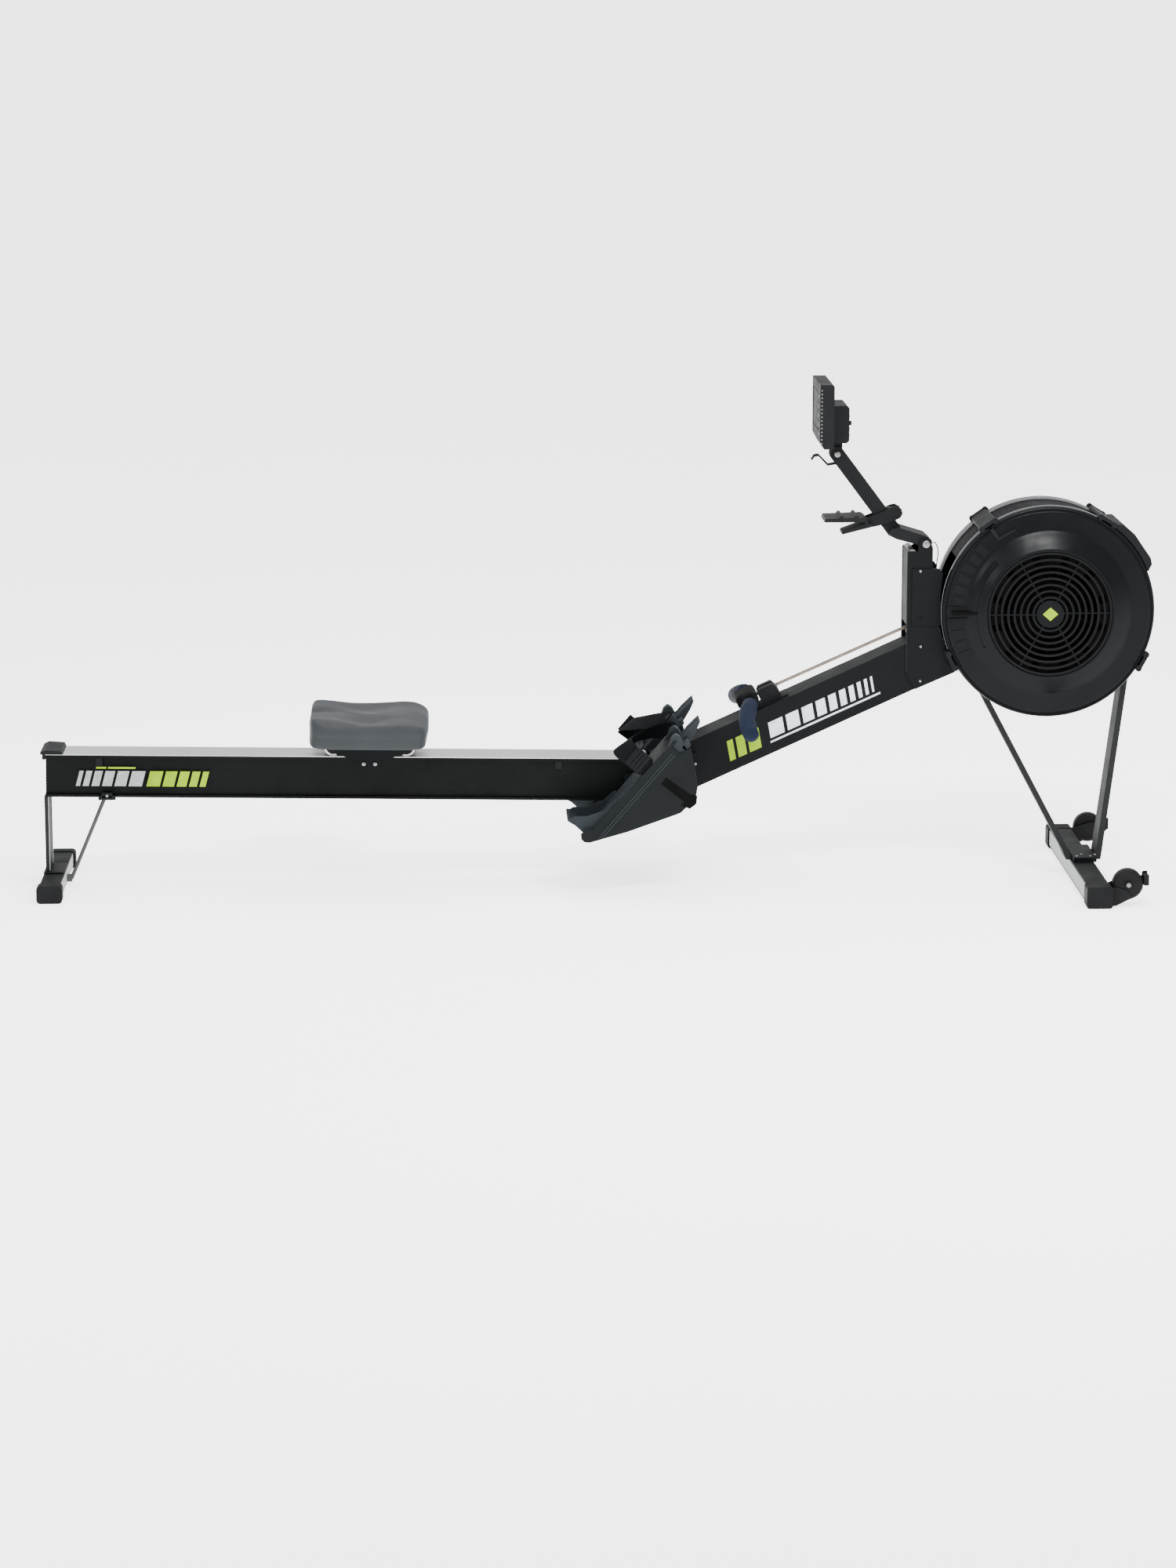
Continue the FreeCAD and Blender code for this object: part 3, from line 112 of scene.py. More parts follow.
class Surface:
    """One node-based material: base colour with drift, uneven gloss, fine grain and worn edges."""

    def __init__(self, name, color, rough, metallic=0.0, specular=0.5):
        self.material = bpy.data.materials.new(name)
        self.material.use_nodes = True
        self.nodes = self.material.node_tree.nodes
        self.links = self.material.node_tree.links
        self.shader = self.nodes["Principled BSDF"]
        self.shader.inputs["Metallic"].default_value = metallic
        self.shader.inputs["Specular IOR Level"].default_value = specular
        self.color, self.rough = color, rough
        self.place = self.nodes.new("ShaderNodeTexCoord").outputs["Object"]

    def stretched(self, scale):
        mapping = self.nodes.new("ShaderNodeMapping")
        mapping.inputs["Scale"].default_value = scale
        self.links.new(self.place, mapping.inputs["Vector"])
        return mapping.outputs["Vector"]

    def noise(self, scale, stretch=(1, 1, 1), detail=4.0):
        node = self.nodes.new("ShaderNodeTexNoise")
        node.inputs["Scale"].default_value = scale
        node.inputs["Detail"].default_value = detail
        self.links.new(self.stretched(stretch), node.inputs["Vector"])
        return node.outputs["Fac"]

    def remap(self, value, low, high, start=0.3, end=0.7):
        node = self.nodes.new("ShaderNodeMapRange")
        for name, number in (("From Min", start), ("From Max", end), ("To Min", low), ("To Max", high)):
            node.inputs[name].default_value = number
        self.links.new(value, node.inputs["Value"])
        return node.outputs["Result"]

    def mix(self, factor, first, second):
        node = self.nodes.new("ShaderNodeMix")
        node.data_type = "RGBA"
        self.links.new(factor, node.inputs[0])
        for socket, color in ((node.inputs[6], first), (node.inputs[7], second)):
            if isinstance(color, tuple):
                socket.default_value = (*color, 1)
            else:
                self.links.new(color, socket)
        return node.outputs[2]

    def shade(self, factor):
        return tuple(min(1.0, part * factor) for part in self.color)

    def drift(self, amount, scale=7.0):
        patches = self.remap(self.noise(scale), 0, 1)
        self.shown = self.mix(patches, self.shade(1 - amount), self.shade(1 + amount))
        return self

    def worn(self, lighter=2.0, share=0.5):
        edge = self.nodes.new("ShaderNodeNewGeometry").outputs["Pointiness"]
        scratches = self.noise(60, detail=6)
        product = self.nodes.new("ShaderNodeMath")
        product.operation = "MULTIPLY"
        self.links.new(self.remap(edge, 0, share, 0.515, 0.58), product.inputs[0])
        self.links.new(self.remap(scratches, 0.2, 1), product.inputs[1])
        self.shown = self.mix(product.outputs[0], self.shown, self.shade(lighter))
        return self

    def gloss(self, spread=0.08, scale=18.0, stretch=(1, 1, 1)):
        level = self.remap(self.noise(scale, stretch), self.rough - spread, self.rough + spread)
        self.links.new(level, self.shader.inputs["Roughness"])
        return self

    def bump(self, height, strength, distance=0.0004):
        node = self.nodes.new("ShaderNodeBump")
        node.inputs["Strength"].default_value = strength
        node.inputs["Distance"].default_value = distance
        self.links.new(height, node.inputs["Height"])
        self.links.new(node.outputs["Normal"], self.shader.inputs["Normal"])
        return self

    def grain(self, scale, strength, stretch=(1, 1, 1)):
        return self.bump(self.noise(scale, stretch, detail=3), strength)

    def done(self):
        self.links.new(self.shown, self.shader.inputs["Base Color"])
        return self.material


def pale_floor():
    """A white sweep that glows a little, like a lit studio background."""
    floor = Surface("floor", (0.95, 0.95, 0.95), 0.8, 0, 0.1).drift(0.01, 2).gloss(0.03).grain(60, 0.03)
    floor.shader.inputs["Emission Color"].default_value = (1, 1, 1, 1)
    floor.shader.inputs["Emission Strength"].default_value = FLOOR_GLOW
    return floor.done()


def plastic(name, color, rough=0.5, grain=700, strength=0.12, specular=0.09):
    surface = Surface(name, color, rough, 0, specular).drift(0.14).worn(2.2, 0.4)
    return surface.gloss().grain(grain, strength).done()


def rubber(name, color, rough=0.7, grain=500):
    return Surface(name, color, rough, 0, 0.1).drift(0.18).gloss(0.1).grain(grain, 0.2).done()


def powder_coat(name, color, rough=0.6):
    """Fine orange-peel paint on steel, chipped lighter along its edges."""
    return Surface(name, color, rough, 0, 0.07).drift(0.08).worn(1.8, 0.35).gloss(0.05).grain(420, 0.1).done()


def bare_metal(name, color, rough, stretch=(1, 1, 1)):
    """Metal with fine lines drawn along the stretched direction."""
    metal = Surface(name, color, rough, 1).drift(0.1, 5)
    return metal.gloss(0.1, 60, stretch).grain(500, 0.1, stretch).done()


def woven(name, color):
    """Webbing: two crossed bands of thread that follow the strap's own UV lengths."""
    cloth = Surface(name, color, 0.85, 0, 0.06).drift(0.2, 30)
    cloth.place = cloth.nodes.new("ShaderNodeTexCoord").outputs["UV"]
    waves = []
    for direction in ("X", "Y"):
        wave = cloth.nodes.new("ShaderNodeTexWave")
        wave.bands_direction = direction
        wave.inputs["Scale"].default_value = 130
        cloth.links.new(cloth.place, wave.inputs["Vector"])
        waves.append(wave.outputs["Fac"])
    both = cloth.nodes.new("ShaderNodeMath")
    both.operation = "MAXIMUM"
    cloth.links.new(waves[0], both.inputs[0])
    cloth.links.new(waves[1], both.inputs[1])
    cloth.shown = cloth.mix(both.outputs[0], cloth.shade(0.6), cloth.shown)
    return cloth.gloss(0.06).bump(both.outputs[0], 0.5).done()


def moulded_foam(name, color):
    """Soft foam skin with a fine leathery cell and a little rubbed shine."""
    foam = Surface(name, color, 0.6, 0, 0.2).drift(0.1, 9).gloss(0.1, 11)
    cell = foam.nodes.new("ShaderNodeTexVoronoi")
    cell.inputs["Scale"].default_value = 520
    foam.links.new(foam.place, cell.inputs["Vector"])
    return foam.bump(cell.outputs["Distance"], 0.16, 0.0005).done()


def perforated(name, color):
    """Sheet punched with rows of small holes, shown as dark pits."""
    sheet = Surface(name, color, 0.6, 0, 0.03).drift(0.1)
    cell = sheet.nodes.new("ShaderNodeTexVoronoi")
    cell.inputs["Scale"].default_value = 170
    cell.inputs["Randomness"].default_value = 0
    sheet.links.new(sheet.place, cell.inputs["Vector"])
    hole = sheet.remap(cell.outputs["Distance"], 0, 1, 0.28, 0.34)
    sheet.shown = sheet.mix(hole, (0.002, 0.002, 0.002), sheet.shown)
    return sheet.gloss().bump(hole, 0.6).done()


def display(name):
    """Unlit grey-green display with faint segment rows."""
    panel = Surface(name, (0.016, 0.018, 0.016), 0.6, 0, 0.06).drift(0.05, 30)
    brick = panel.nodes.new("ShaderNodeTexBrick")
    brick.inputs["Scale"].default_value = 55
    brick.inputs["Mortar Size"].default_value = 0.03
    panel.links.new(panel.stretched((0, 1, 1)), brick.inputs["Vector"])
    rows = panel.remap(brick.outputs["Fac"], 0, 0.25, 0, 1)
    panel.shown = panel.mix(rows, panel.shown, (0.008, 0.009, 0.008))
    return panel.gloss(0.04).grain(900, 0.03).done()


BLACK = (0.0034, 0.0037, 0.0042)
PALETTE = {
    "floor": pale_floor(),
    "rail_black": plastic("rail_anodised", (0.0014, 0.0018, 0.0018), 0.45, 900, 0.05, 0.06),
    "track_steel": bare_metal("track_steel", (0.42, 0.42, 0.43), 0.34, (0.02, 4, 4)),
    "black_plastic": plastic("black_plastic", BLACK, 0.62),
    "housing_black": plastic("housing_black", (0.002, 0.0023, 0.0028), 0.3, 800, 0.04, 0.07),
    "foot_gray": plastic("foot_gray", (0.0028, 0.0038, 0.0042), 0.6, 500, 0.18),
    "heel_gray": plastic("heel_gray", (0.0125, 0.0155, 0.018), 0.6, 500, 0.15),
    "seat_gray": moulded_foam("seat_foam", (0.0165, 0.019, 0.0215)),
    "black_rubber": rubber("black_rubber", (0.0042, 0.0044, 0.0048)),
    "gray_steel": powder_coat("gray_steel", (0.0095, 0.01, 0.0105)),
    "pale_steel": powder_coat("pale_steel", (0.24, 0.245, 0.25)),
    "black_steel": powder_coat("black_steel", (0.002, 0.0025, 0.0029), 0.58),
    "bright_steel": bare_metal("bright_steel", (0.17, 0.17, 0.175), 0.4),
    "roller_white": plastic("roller_white", (0.5, 0.5, 0.5), 0.4),
    "webbing": woven("webbing", (0.0035, 0.004, 0.0045)),
    "chain_steel": bare_metal("chain_steel", (0.14, 0.12, 0.10), 0.38),
    "cord_black": rubber("cord_black", (0.004, 0.004, 0.004)),
    "grip_navy": rubber("grip_navy", (0.0022, 0.0056, 0.0165), 0.7, 800),
    # The fan is coloured near-black and matte so the inside of the housing behind the grille reads dark:
    # painted shade.
    "fan_alloy": rubber("fan_alloy", (0.0008, 0.0008, 0.0009), 0.9),
    "screen_gray": display("display"),
    "key_gray": rubber("key_gray", (0.12, 0.125, 0.13)),
    "caster_gray": rubber("caster_gray", (0.003, 0.003, 0.0032), 0.6),
    "perforated": perforated("perforated_screen", (0.006, 0.006, 0.007)),
    "strut_gray": powder_coat("strut_gray", (0.05, 0.05, 0.052)),
    "roller_dark": plastic("roller_dark", (0.004, 0.004, 0.004), 0.55),
    "damper_dark": rubber("damper_dark", (0.0006, 0.0006, 0.0007), 0.9),
    # Pale plastic used only for the painted highlight along the housing rims.
    "painted_rim_highlight": plastic("painted_rim_highlight", (0.14, 0.145, 0.15), 0.4),
    "lime": plastic("decal_lime", (0.14, 0.24, 0), 0.5, 900, 0.04),
    "silver": plastic("decal_silver", (0.2, 0.205, 0.21), 0.45, 900, 0.04),
    "white": plastic("decal_white", (0.42, 0.46, 0.5), 0.5, 900, 0.04),
}

# ---------------------------------------------------------------- mesh helpers


def mesh_object(name, points, faces):
    mesh = bpy.data.meshes.new(name)
    mesh.from_pydata([Vector(point) for point in points], [], faces)
    mesh.validate()
    made = bpy.data.objects.new(name, mesh)
    bpy.context.collection.objects.link(made)
    return made


def finish_piece(made, body, slot, look=None, bevel=0.0, replaced=()):
    """Material, shading, bevel and the body that the piece rides on; the slot picks the material when no look
    is given.
    """
    made.data.materials.append(PALETTE[look or slot])
    made.data.shade_smooth()
    made.data.set_sharp_from_angle(angle=math.radians(38))
    if bevel:
        add_bevel(made, bevel)
    if body:
        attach(made, body)
    if replaced:
        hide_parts(*replaced)
    return made


def add_bevel(made, width):
    modifier = made.modifiers.new("bevel", "BEVEL")
    modifier.width = width * MM
    modifier.segments = 3
    modifier.limit_method = "ANGLE"
    modifier.angle_limit = math.radians(32)
    modifier.harden_normals = True


def tilted(base_x, base_z, slope):
    """Place of (along, y, above) in a frame that rises by slope degrees towards +X, in metres."""
    cos, sin = math.cos(math.radians(slope)), math.sin(math.radians(slope))

    def place(along, y, above):
        return Vector((base_x + along * cos - above * sin, y, base_z + along * sin + above * cos)) * MM

    return place


WORLD = tilted(0, 0, 0)
RAIL = tilted(0, 285.6, -0.867)
SEAT = tilted(-497.943, 293.135, -0.867)
BEAM = tilted(126, 285.6, 24.4)
FOOT = tilted(-12, 145, 49.4)
WHEEL_CENTRE = (987, 611)
WHEEL = tilted(*WHEEL_CENTRE, 0)
HANDLE = tilted(338, 412.6, 23.8)


def prism(name, outline, low, high, place=WORLD):
    """A closed outline in the frame's side plane, carried from one Y to another."""
    count = len(outline)
    points = [place(a, low, b) for a, b in outline] + [place(a, high, b) for a, b in outline]
    faces = [tuple(range(count)), tuple(range(2 * count - 1, count - 1, -1))]
    faces += [(i, i + count, (i + 1) % count + count, (i + 1) % count) for i in range(count)]
    made = mesh_object(name, points, faces)
    fix_normals(made)
    return made


def fix_normals(made):
    work = bmesh.new()
    work.from_mesh(made.data)
    bmesh.ops.recalc_face_normals(work, faces=work.faces)
    work.to_mesh(made.data)
    work.free()


def block(name, start, size, place=WORLD):
    """A block from its lowest corner in a frame: along, y, above."""
    a, y, b = start
    outline = [(a, b), (a + size[0], b), (a + size[0], b + size[2]), (a, b + size[2])]
    return prism(name, outline, y, y + size[1], place)


def lathe(name, profile, place=WHEEL, steps=128):
    """A closed (y, radius) profile turned about the frame's Y axis."""
    count = len(profile)
    points = []
    for step in range(steps):
        turn = 2 * math.pi * step / steps
        points += [place(r * math.cos(turn), y, r * math.sin(turn)) for y, r in profile]
    faces = []
    for step in range(steps):
        here, there = step * count, (step + 1) % steps * count
        for i in range(count):
            j = (i + 1) % count
            faces.append((here + i, here + j, there + j, there + i))
    made = mesh_object(name, points, faces)
    fix_normals(made)
    return made


def tube(name, spots, radii, sides=24):
    """A round body along points, with a radius at each one, closed at both ends."""
    points, faces = [], []
    for index, (spot, radius) in enumerate(zip(spots, radii)):
        ahead = spots[min(index + 1, len(spots) - 1)] - spots[max(index - 1, 0)]
        across = ahead.cross(Vector((0.3, 0.1, 1))).normalized()
        up = ahead.cross(across).normalized()
        for side in range(sides):
            turn = 2 * math.pi * side / sides
            points.append(spot + (across * math.cos(turn) + up * math.sin(turn)) * radius)
    for ring in range(len(spots) - 1):
        for side in range(sides):
            here, there = ring * sides, (ring + 1) * sides
            following = (side + 1) % sides
            faces.append((here + side, here + following, there + following, there + side))
    faces.append(tuple(range(sides)))
    faces.append(tuple(range(len(points) - 1, len(points) - sides - 1, -1)))
    made = mesh_object(name, points, faces)
    fix_normals(made)
    return made


def joined(name, made):
    """Several meshes made into one object."""
    points, faces = [], []
    for item in made:
        first = len(points)
        points += [vertex.co.copy() for vertex in item.data.vertices]
        faces += [tuple(first + index for index in face.vertices) for face in item.data.polygons]
        bpy.data.objects.remove(item)
    return mesh_object(name, points, faces)


def ramp(value, start, end):
    """Smooth step from 0 at start to 1 at end."""
    t = min(1.0, max(0.0, (value - start) / (end - start)))
    return t * t * (3 - 2 * t)


def both_sides(make):
    make("left", 1)
    make("right", -1)


# ---------------------------------------------------------------- seat

SEAT_HALF = (131, 147)


def seat_top(along, across):
    """Height of the pad's top: raised at the back but not along its sides, a roll at the front, two
    hollows to sit in and a notch for the tailbone.
    """
    height = 86 + 11 * ramp(-along, -20, 115) + 3 * math.exp(-((along - 78) / 34) ** 2)
    height -= 13 * ramp(-along, -30, 110) * ramp(abs(across), 106, 147)
    hollows = math.exp(-((along + 18) / 58) ** 2) * math.exp(-((abs(across) - 66) / 44) ** 2)
    notch = math.exp(-(across / 24) ** 2) * ramp(-along, 30, 125)
    return height - 8 * hollows - 8 * notch - 5 * ramp(along, 96, 131)


def make_seat():
    """Foam pad as rings of a rounded square: the underside first, then the top, edge to middle."""
    around = 144
    levels = [(0.0, 46.5), (0.3, 46.5), (0.6, 46.5), (0.84, 46.5), (0.865, 44), (0.87, 36.5), (0.885, 35),
              (0.97, 35), (0.985, 35.6), (0.994, 37.5), (0.999, 42), (0.999, 58), (0.994, 60), (0.998, 62)]
    tops = [(1.0, -19), (0.999, -13), (0.992, -8), (0.98, -4.4), (0.962, -2), (0.94, -0.7), (0.9, 0)]
    tops += [(0.84 - 0.07 * step, 0) for step in range(12)] + [(0.0, 0)]
    points = []
    for scale, height in levels + tops:
        for step in range(around):
            turn = 2 * math.pi * step / around
            cos, sin = math.cos(turn), math.sin(turn)
            reach = (abs(cos) ** 7 + abs(sin) ** 7) ** (-1 / 7)
            along = SEAT_HALF[0] * cos * reach * scale
            across = SEAT_HALF[1] * sin * reach * scale
            level = height if (scale, height) in levels else seat_top(along, across) + height
            lean = 1.0 if along < 0 else 1 - 0.05 * (1 - ramp(level, 40, 80))
            points.append(SEAT(along * lean, across, level))
    rings = len(levels) + len(tops)
    faces = [(r * around + s, r * around + (s + 1) % around, (r + 1) * around + (s + 1) % around,
              (r + 1) * around + s) for r in range(rings - 1) for s in range(around)]
    pad = mesh_object("seat_cushion", points, faces)
    weld(pad)
    pad.modifiers.new("smooth", "SUBSURF").render_levels = 1
    finish_piece(pad, "seat", "seat_gray", replaced=("seat_pad",))
    pad.data.shade_smooth()


def weld(made):
    work = bmesh.new()
    work.from_mesh(made.data)
    bmesh.ops.remove_doubles(work, verts=work.verts, dist=0.00005)
    bmesh.ops.recalc_face_normals(work, faces=work.faces)
    work.to_mesh(made.data)
    work.free()


def make_carriage_details():
    """Dark skirts beside the rail between the rollers, drawn long enough to hide the track under the seat:
    partly the carriage's side plates, partly painted shade of the seat. Also a pale worn tread on each
    roller.
    """
    skirts = []
    for low in (-53.4, 50.6):
        # Long enough along the rail to hide the track under the seat: partly side plates, partly painted
        # shade.
        outline = ((-84, 36), (84, 36), (80, 22), (74, 6), (38, -4), (-38, -4), (-74, 6), (-80, 22))
        skirts.append(prism("skirt", outline, low, low + 2.8, SEAT))
    finish_piece(joined("carriage_skirts_and_painted_shade", skirts), "seat", "black_steel", bevel=0.8)
    for name, along in (("front", 80), ("rear", -80)):
        spot = SEAT(along, 0, 20.15) / MM
        place = tilted(spot.x, spot.z, 0)
        treads = [lathe("tread", [(low, 16), (low, 20), (low + 1.2, 20), (low + 1.2, 16)], place, 40)
                  for low in (-40.9, -22.3, 21.1, 39.7)]
        finish_piece(joined(f"roller_treads_{name}", treads), f"rollers_{name}", "roller_white")


# ---------------------------------------------------------------- handle


def make_handle():
    """Two bowed and grooved grips, and the shell between them."""
    def grip(side, sign):
        inner, outer = Vector((0, 62, 0)), Vector((-26, 222, -36))
        heading = (outer - inner).normalized()
        spots, radii = [], []
        for step in range(61):
            share = step / 60
            bow = math.sin(math.pi * share)
            spot = inner + heading * (6 + share * 163) + Vector((-9, 0, 4)) * bow
            swell = 1 + 0.045 * math.sin(math.pi * share) - 0.03 * math.cos(share * 4 * math.pi)
            end = min(1.0, math.sqrt(max(0.02, min(share, 1 - share) / 0.045)))
            groove = 0.985 if step % 5 == 0 and 6 < step < 54 else 1.0
            spots.append(HANDLE(spot.x, spot.y * sign, spot.z))
            radii.append(17.4 * swell * end * groove * MM)
        made = tube(f"grip_{side}", spots, radii, 36)
        replaced = ("handle_grips",) if sign > 0 else ()
        finish_piece(made, "handle", "grip_navy", replaced=replaced)

    both_sides(grip)
    shell = block("handle_shell", (-30, -45, -17), (49, 90, 34), HANDLE)
    finish_piece(shell, "handle", "black_plastic", "damper_dark", bevel=12)


# ---------------------------------------------------------------- chain

PITCH = 6.35
IDLER = (695.2, 558, 13)
SPROCKET = (*WHEEL_CENTRE, 14.27)
PLATE_HALF = 2.9
ROLLER_RADIUS = 1.6
FREE_PIECES = 6


def chain_route():
    """Points of the chain's centre line: shackle, over the idler, round the sprocket, back to the hook."""
    start = HANDLE(58, 0, 0) / MM
    hook = BEAM(560, 0, -35) / MM
    stops = [(start.x, start.z, 0), IDLER, SPROCKET, (hook.x, hook.z, 0)]
    route, last = [], None
    for (x0, z0, r0), (x1, z1, r1) in zip(stops, stops[1:]):
        gap = math.hypot(x1 - x0, z1 - z0)
        heading = math.atan2(z1 - z0, x1 - x0) - math.asin((r0 - r1) / gap)
        normal = heading + math.pi / 2
        if last is not None:
            for step in range(25):
                turn = last + (normal - last) * step / 24
                route.append(Vector((x0 + r0 * math.cos(turn), 0, z0 + r0 * math.sin(turn))))
        route.append(Vector((x0 + r0 * math.cos(normal), 0, z0 + r0 * math.sin(normal))))
        route.append(Vector((x1 + r1 * math.cos(normal), 0, z1 + r1 * math.sin(normal))))
        last = normal
    return route


def paced(route, pace):
    """Points one pace apart along a route."""
    found, left = [route[0]], pace
    for start, end in zip(route, route[1:]):
        run = (end - start).length
        done = 0.0
        while run - done >= left > 0:
            done += left
            found.append(start + (end - start) * (done / run))
            left = pace
        left -= run - done
    return found


def chain_links(name, pins, first):
    """Link plates and rollers between neighbouring pins; inner and outer plates take turns."""
    points, faces = [], []

    def slab(outline, low, high):
        base, count = len(points), len(outline)
        points.extend([Vector((p.x, low, p.z)) * MM for p in outline])
        points.extend([Vector((p.x, high, p.z)) * MM for p in outline])
        faces.append(tuple(range(base, base + count)))
        faces.append(tuple(range(base + 2 * count - 1, base + count - 1, -1)))
        for i in range(count):
            j = (i + 1) % count
            faces.append((base + i, base + i + count, base + j + count, base + j))

    for index, (here, there) in enumerate(zip(pins, pins[1:])):
        ahead = (there - here).normalized()
        up = Vector((-ahead.z, 0, ahead.x))
        waist = []
        for centre, turned in ((there, 1), (here, -1)):
            for turn in (-80, -40, 0, 40, 80):
                angle = math.radians(turn)
                waist.append(centre + (ahead * math.cos(angle) + up * math.sin(angle)) * PLATE_HALF * turned)
        outer = (index + first) % 2
        for low in ((2.6, -3.6) if outer else (1.6, -2.6)):
            slab(waist, low, low + 1.0)
        turns = [step * math.pi / 4 for step in range(8)]
        circle = [here + (ahead * math.cos(turn) + up * math.sin(turn)) * ROLLER_RADIUS for turn in turns]
        slab(circle, -3.9 if outer else -1.5, 3.9 if outer else 1.5)
    made = mesh_object(name, points, faces)
    fix_normals(made)
    return made


def make_chain():
    """Chain from the hook to the idler on the frame, and a free strand cut into pieces that ride on no body.
    """
    route = chain_route()
    pins = paced(route, PITCH)
    idler = route[1]
    free = sum(1 for pin in pins if pin.x < idler.x - 1)
    fixed = chain_links("chain_round_wheels", pins[free - 1:], free - 1)
    finish_piece(fixed, "front_frame", "chain_steel", replaced=("chain",))
    start, end = route[1] * MM, route[0] * MM
    edges = [round(free * part / FREE_PIECES) for part in range(FREE_PIECES + 1)]
    edges[-1] = free - 1
    for part, (low, high) in enumerate(zip(edges, edges[1:])):
        piece = chain_links(f"chain_free_{part}", pins[low:high + 1], low)
        finish_piece(piece, None, "chain_steel")
        shares = [(pins[edge] * MM - start).length / (end - start).length for edge in (high, low)]
        turned = [0.5 - math.sin(math.asin(1 - 2 * min(1.0, max(0.0, share))) / 3) for share in shares]
        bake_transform(piece)


# ---------------------------------------------------------------- footrests

# Points of the strap from the outer edge of the sole, over the instep and down to its inner edge:
# across the machine, above the sole, and the band's lower edge along the sole.
STRAP_PATH = ((174, 0.4, 162), (174.4, 30, 161), (173.5, 58, 160), (168, 77, 160), (157, 85, 163),
              (142, 82, 170), (122, 70, 183), (102, 55, 198), (84, 40, 213), (70, 25, 227), (62, 11, 238),
              (59.5, 0.4, 243))
STRAP_WIDTH = 50
STRAP_LIFT = {"left": 0.62, "right": 1}


def make_strap(side, sign):
    """Webbing loop that stands up by the outer edge and runs slantwise to the inner one, the left lower."""
    points, faces, lengths = [], [], []
    columns = (0, 0.5, 1)
    length = 0
    for index, (across, up, start) in enumerate(STRAP_PATH):
        if index:
            length += math.dist((across, up, start), STRAP_PATH[index - 1])
        lengths.append(length)
        for column in columns:
            lift = STRAP_LIFT[side] * (1 - 0.16 * column * ramp(up, 20, 86))
            points.append(FOOT(start + STRAP_WIDTH * column, across * sign, up * lift))
    rows = len(STRAP_PATH)
    for row in range(rows - 1):
        for column in range(2):
            first = row * 3 + column
            faces.append((first, first + 1, first + 4, first + 3))
    band = mesh_object(f"strap_band_{side}", points, faces)
    layer = band.data.uv_layers.new(name="UVMap")
    for polygon in band.data.polygons:
        for corner, vertex in zip(polygon.loop_indices, polygon.vertices):
            layer.data[corner].uv = (lengths[vertex // 3] * MM, columns[vertex % 3] * STRAP_WIDTH * MM)
    fix_normals(band)
    thick = band.modifiers.new("thick", "SOLIDIFY")
    thick.thickness = 2.2 * MM
    thick.offset = 0
    smooth = band.modifiers.new("smooth", "SUBSURF")
    smooth.levels = smooth.render_levels = 2
    finish_piece(band, "front_frame", "webbing", replaced=(f"strap_{side}",))
    band.data.shade_smooth()


def make_buckles():
    """Ribbed buckle on the outer side of each strap."""
    pieces = []
    for sign in (1, -1):
        low = 174.6 if sign > 0 else -179.4
        pieces.append(block("buckle_base", (166, low, 14), (44, 4.8, 38), FOOT))
        for index in range(4):
            outer = 176.4 if sign > 0 else -182.4
            pieces.append(block("buckle_rib", (168, outer, 18 + 8.4 * index), (40, 6, 4), FOOT))
    made = joined("strap_buckle_bodies", pieces)
    finish_piece(made, "front_frame", "black_plastic", bevel=1.0, replaced=("strap_buckles",))


SIDE_WALL = ((-39, 146), (-38, 134), (-31, 127), (-20, 126), (64, 150), (168, 187), (178, 191), (206, 218),
             (212, 230), (215, 251), (207, 300), (199, 336), (176, 322), (160, 338), (140, 326), (-14, 156),
             (-26, 156))
INNER_WALL = ((-20, 128), (168, 190), (206, 220), (213, 251), (196, 338), (150, 332), (-10, 150))
TOE_BROAD = ((104, 262), (150, 330), (158, 356), (168, 364), (178, 358), (190, 336), (196, 326), (140, 266))
TOE_POINT = ((170, 330), (180, 346), (196, 366), (220, 389.5), (222.5, 386), (214, 366), (200, 342),
             (192, 326))


def make_footboard(side, sign):
    """Shell, toe guards, edge lines and the patch where the strap is anchored, then the heel piece."""
    def band(name, outline, inner, width, place=WORLD):
        low = inner if sign > 0 else -inner - width
        return prism(f"{name}_{side}", outline, low, low + width, place)

    shell = [band("outer", SIDE_WALL, 175.6, 4), band("inner", INNER_WALL, 51.4, 3.6)]
    shell.append(band("sole", ((-18, -5), (272, -5), (272, 0), (-18, 0)), 52, 127, FOOT))
    shell.append(band("under", ((-16, 129), (168, 190), (206, 220), (213, 251), (198, 332), (195, 330),
                                (209.5, 251), (203, 222), (166, 193.5), (-16, 132.5)), 52, 127))
    made = joined(f"footboard_shell_{side}", shell)
    finish_piece(made, "front_frame", "foot_gray", bevel=1.6, replaced=(f"footboard_{side}",))
    toes = []
    for inner, width in ((152, 22), (60, 22)):
        toes.append(band("toe_broad", TOE_BROAD, inner, width))
    for inner, width in ((131, 9), (118, 5), (98, 9), (85, 5)):
        toes.append(band("toe_point", TOE_POINT, inner, width))
    toes.append(band("toe_bridge", ((178, 334), (186, 346), (196, 352), (200, 340), (190, 326)), 62, 112))
    made = joined(f"toe_guards_{side}", toes)
    finish_piece(made, "front_frame", "heel_gray", bevel=2.0)
    trims = []
    for offset in (7, 13):
        line = ((2, -6 - offset), (248, -6 - offset), (248, -8.2 - offset), (2, -8.2 - offset))
        trims.append(band("edge_line", line, 178.6, 2.4, FOOT))
    made = joined(f"edge_lines_{side}", trims)
    finish_piece(made, "front_frame", "heel_gray", bevel=0.8)
    block_outline = ((178, 208), (186, 215), (200, 232), (214, 228), (212, 211), (198, 200))
    patch = [band("patch", ((134, 256), (146, 271), (200, 232), (186, 215)), 177.4, 2.8),
             band("patch_block", block_outline, 172, 9)]
    made = joined(f"strap_patch_{side}", patch)
    finish_piece(made, "front_frame", "black_rubber", "damper_dark", bevel=1.4)
    make_heel(side, sign, band)


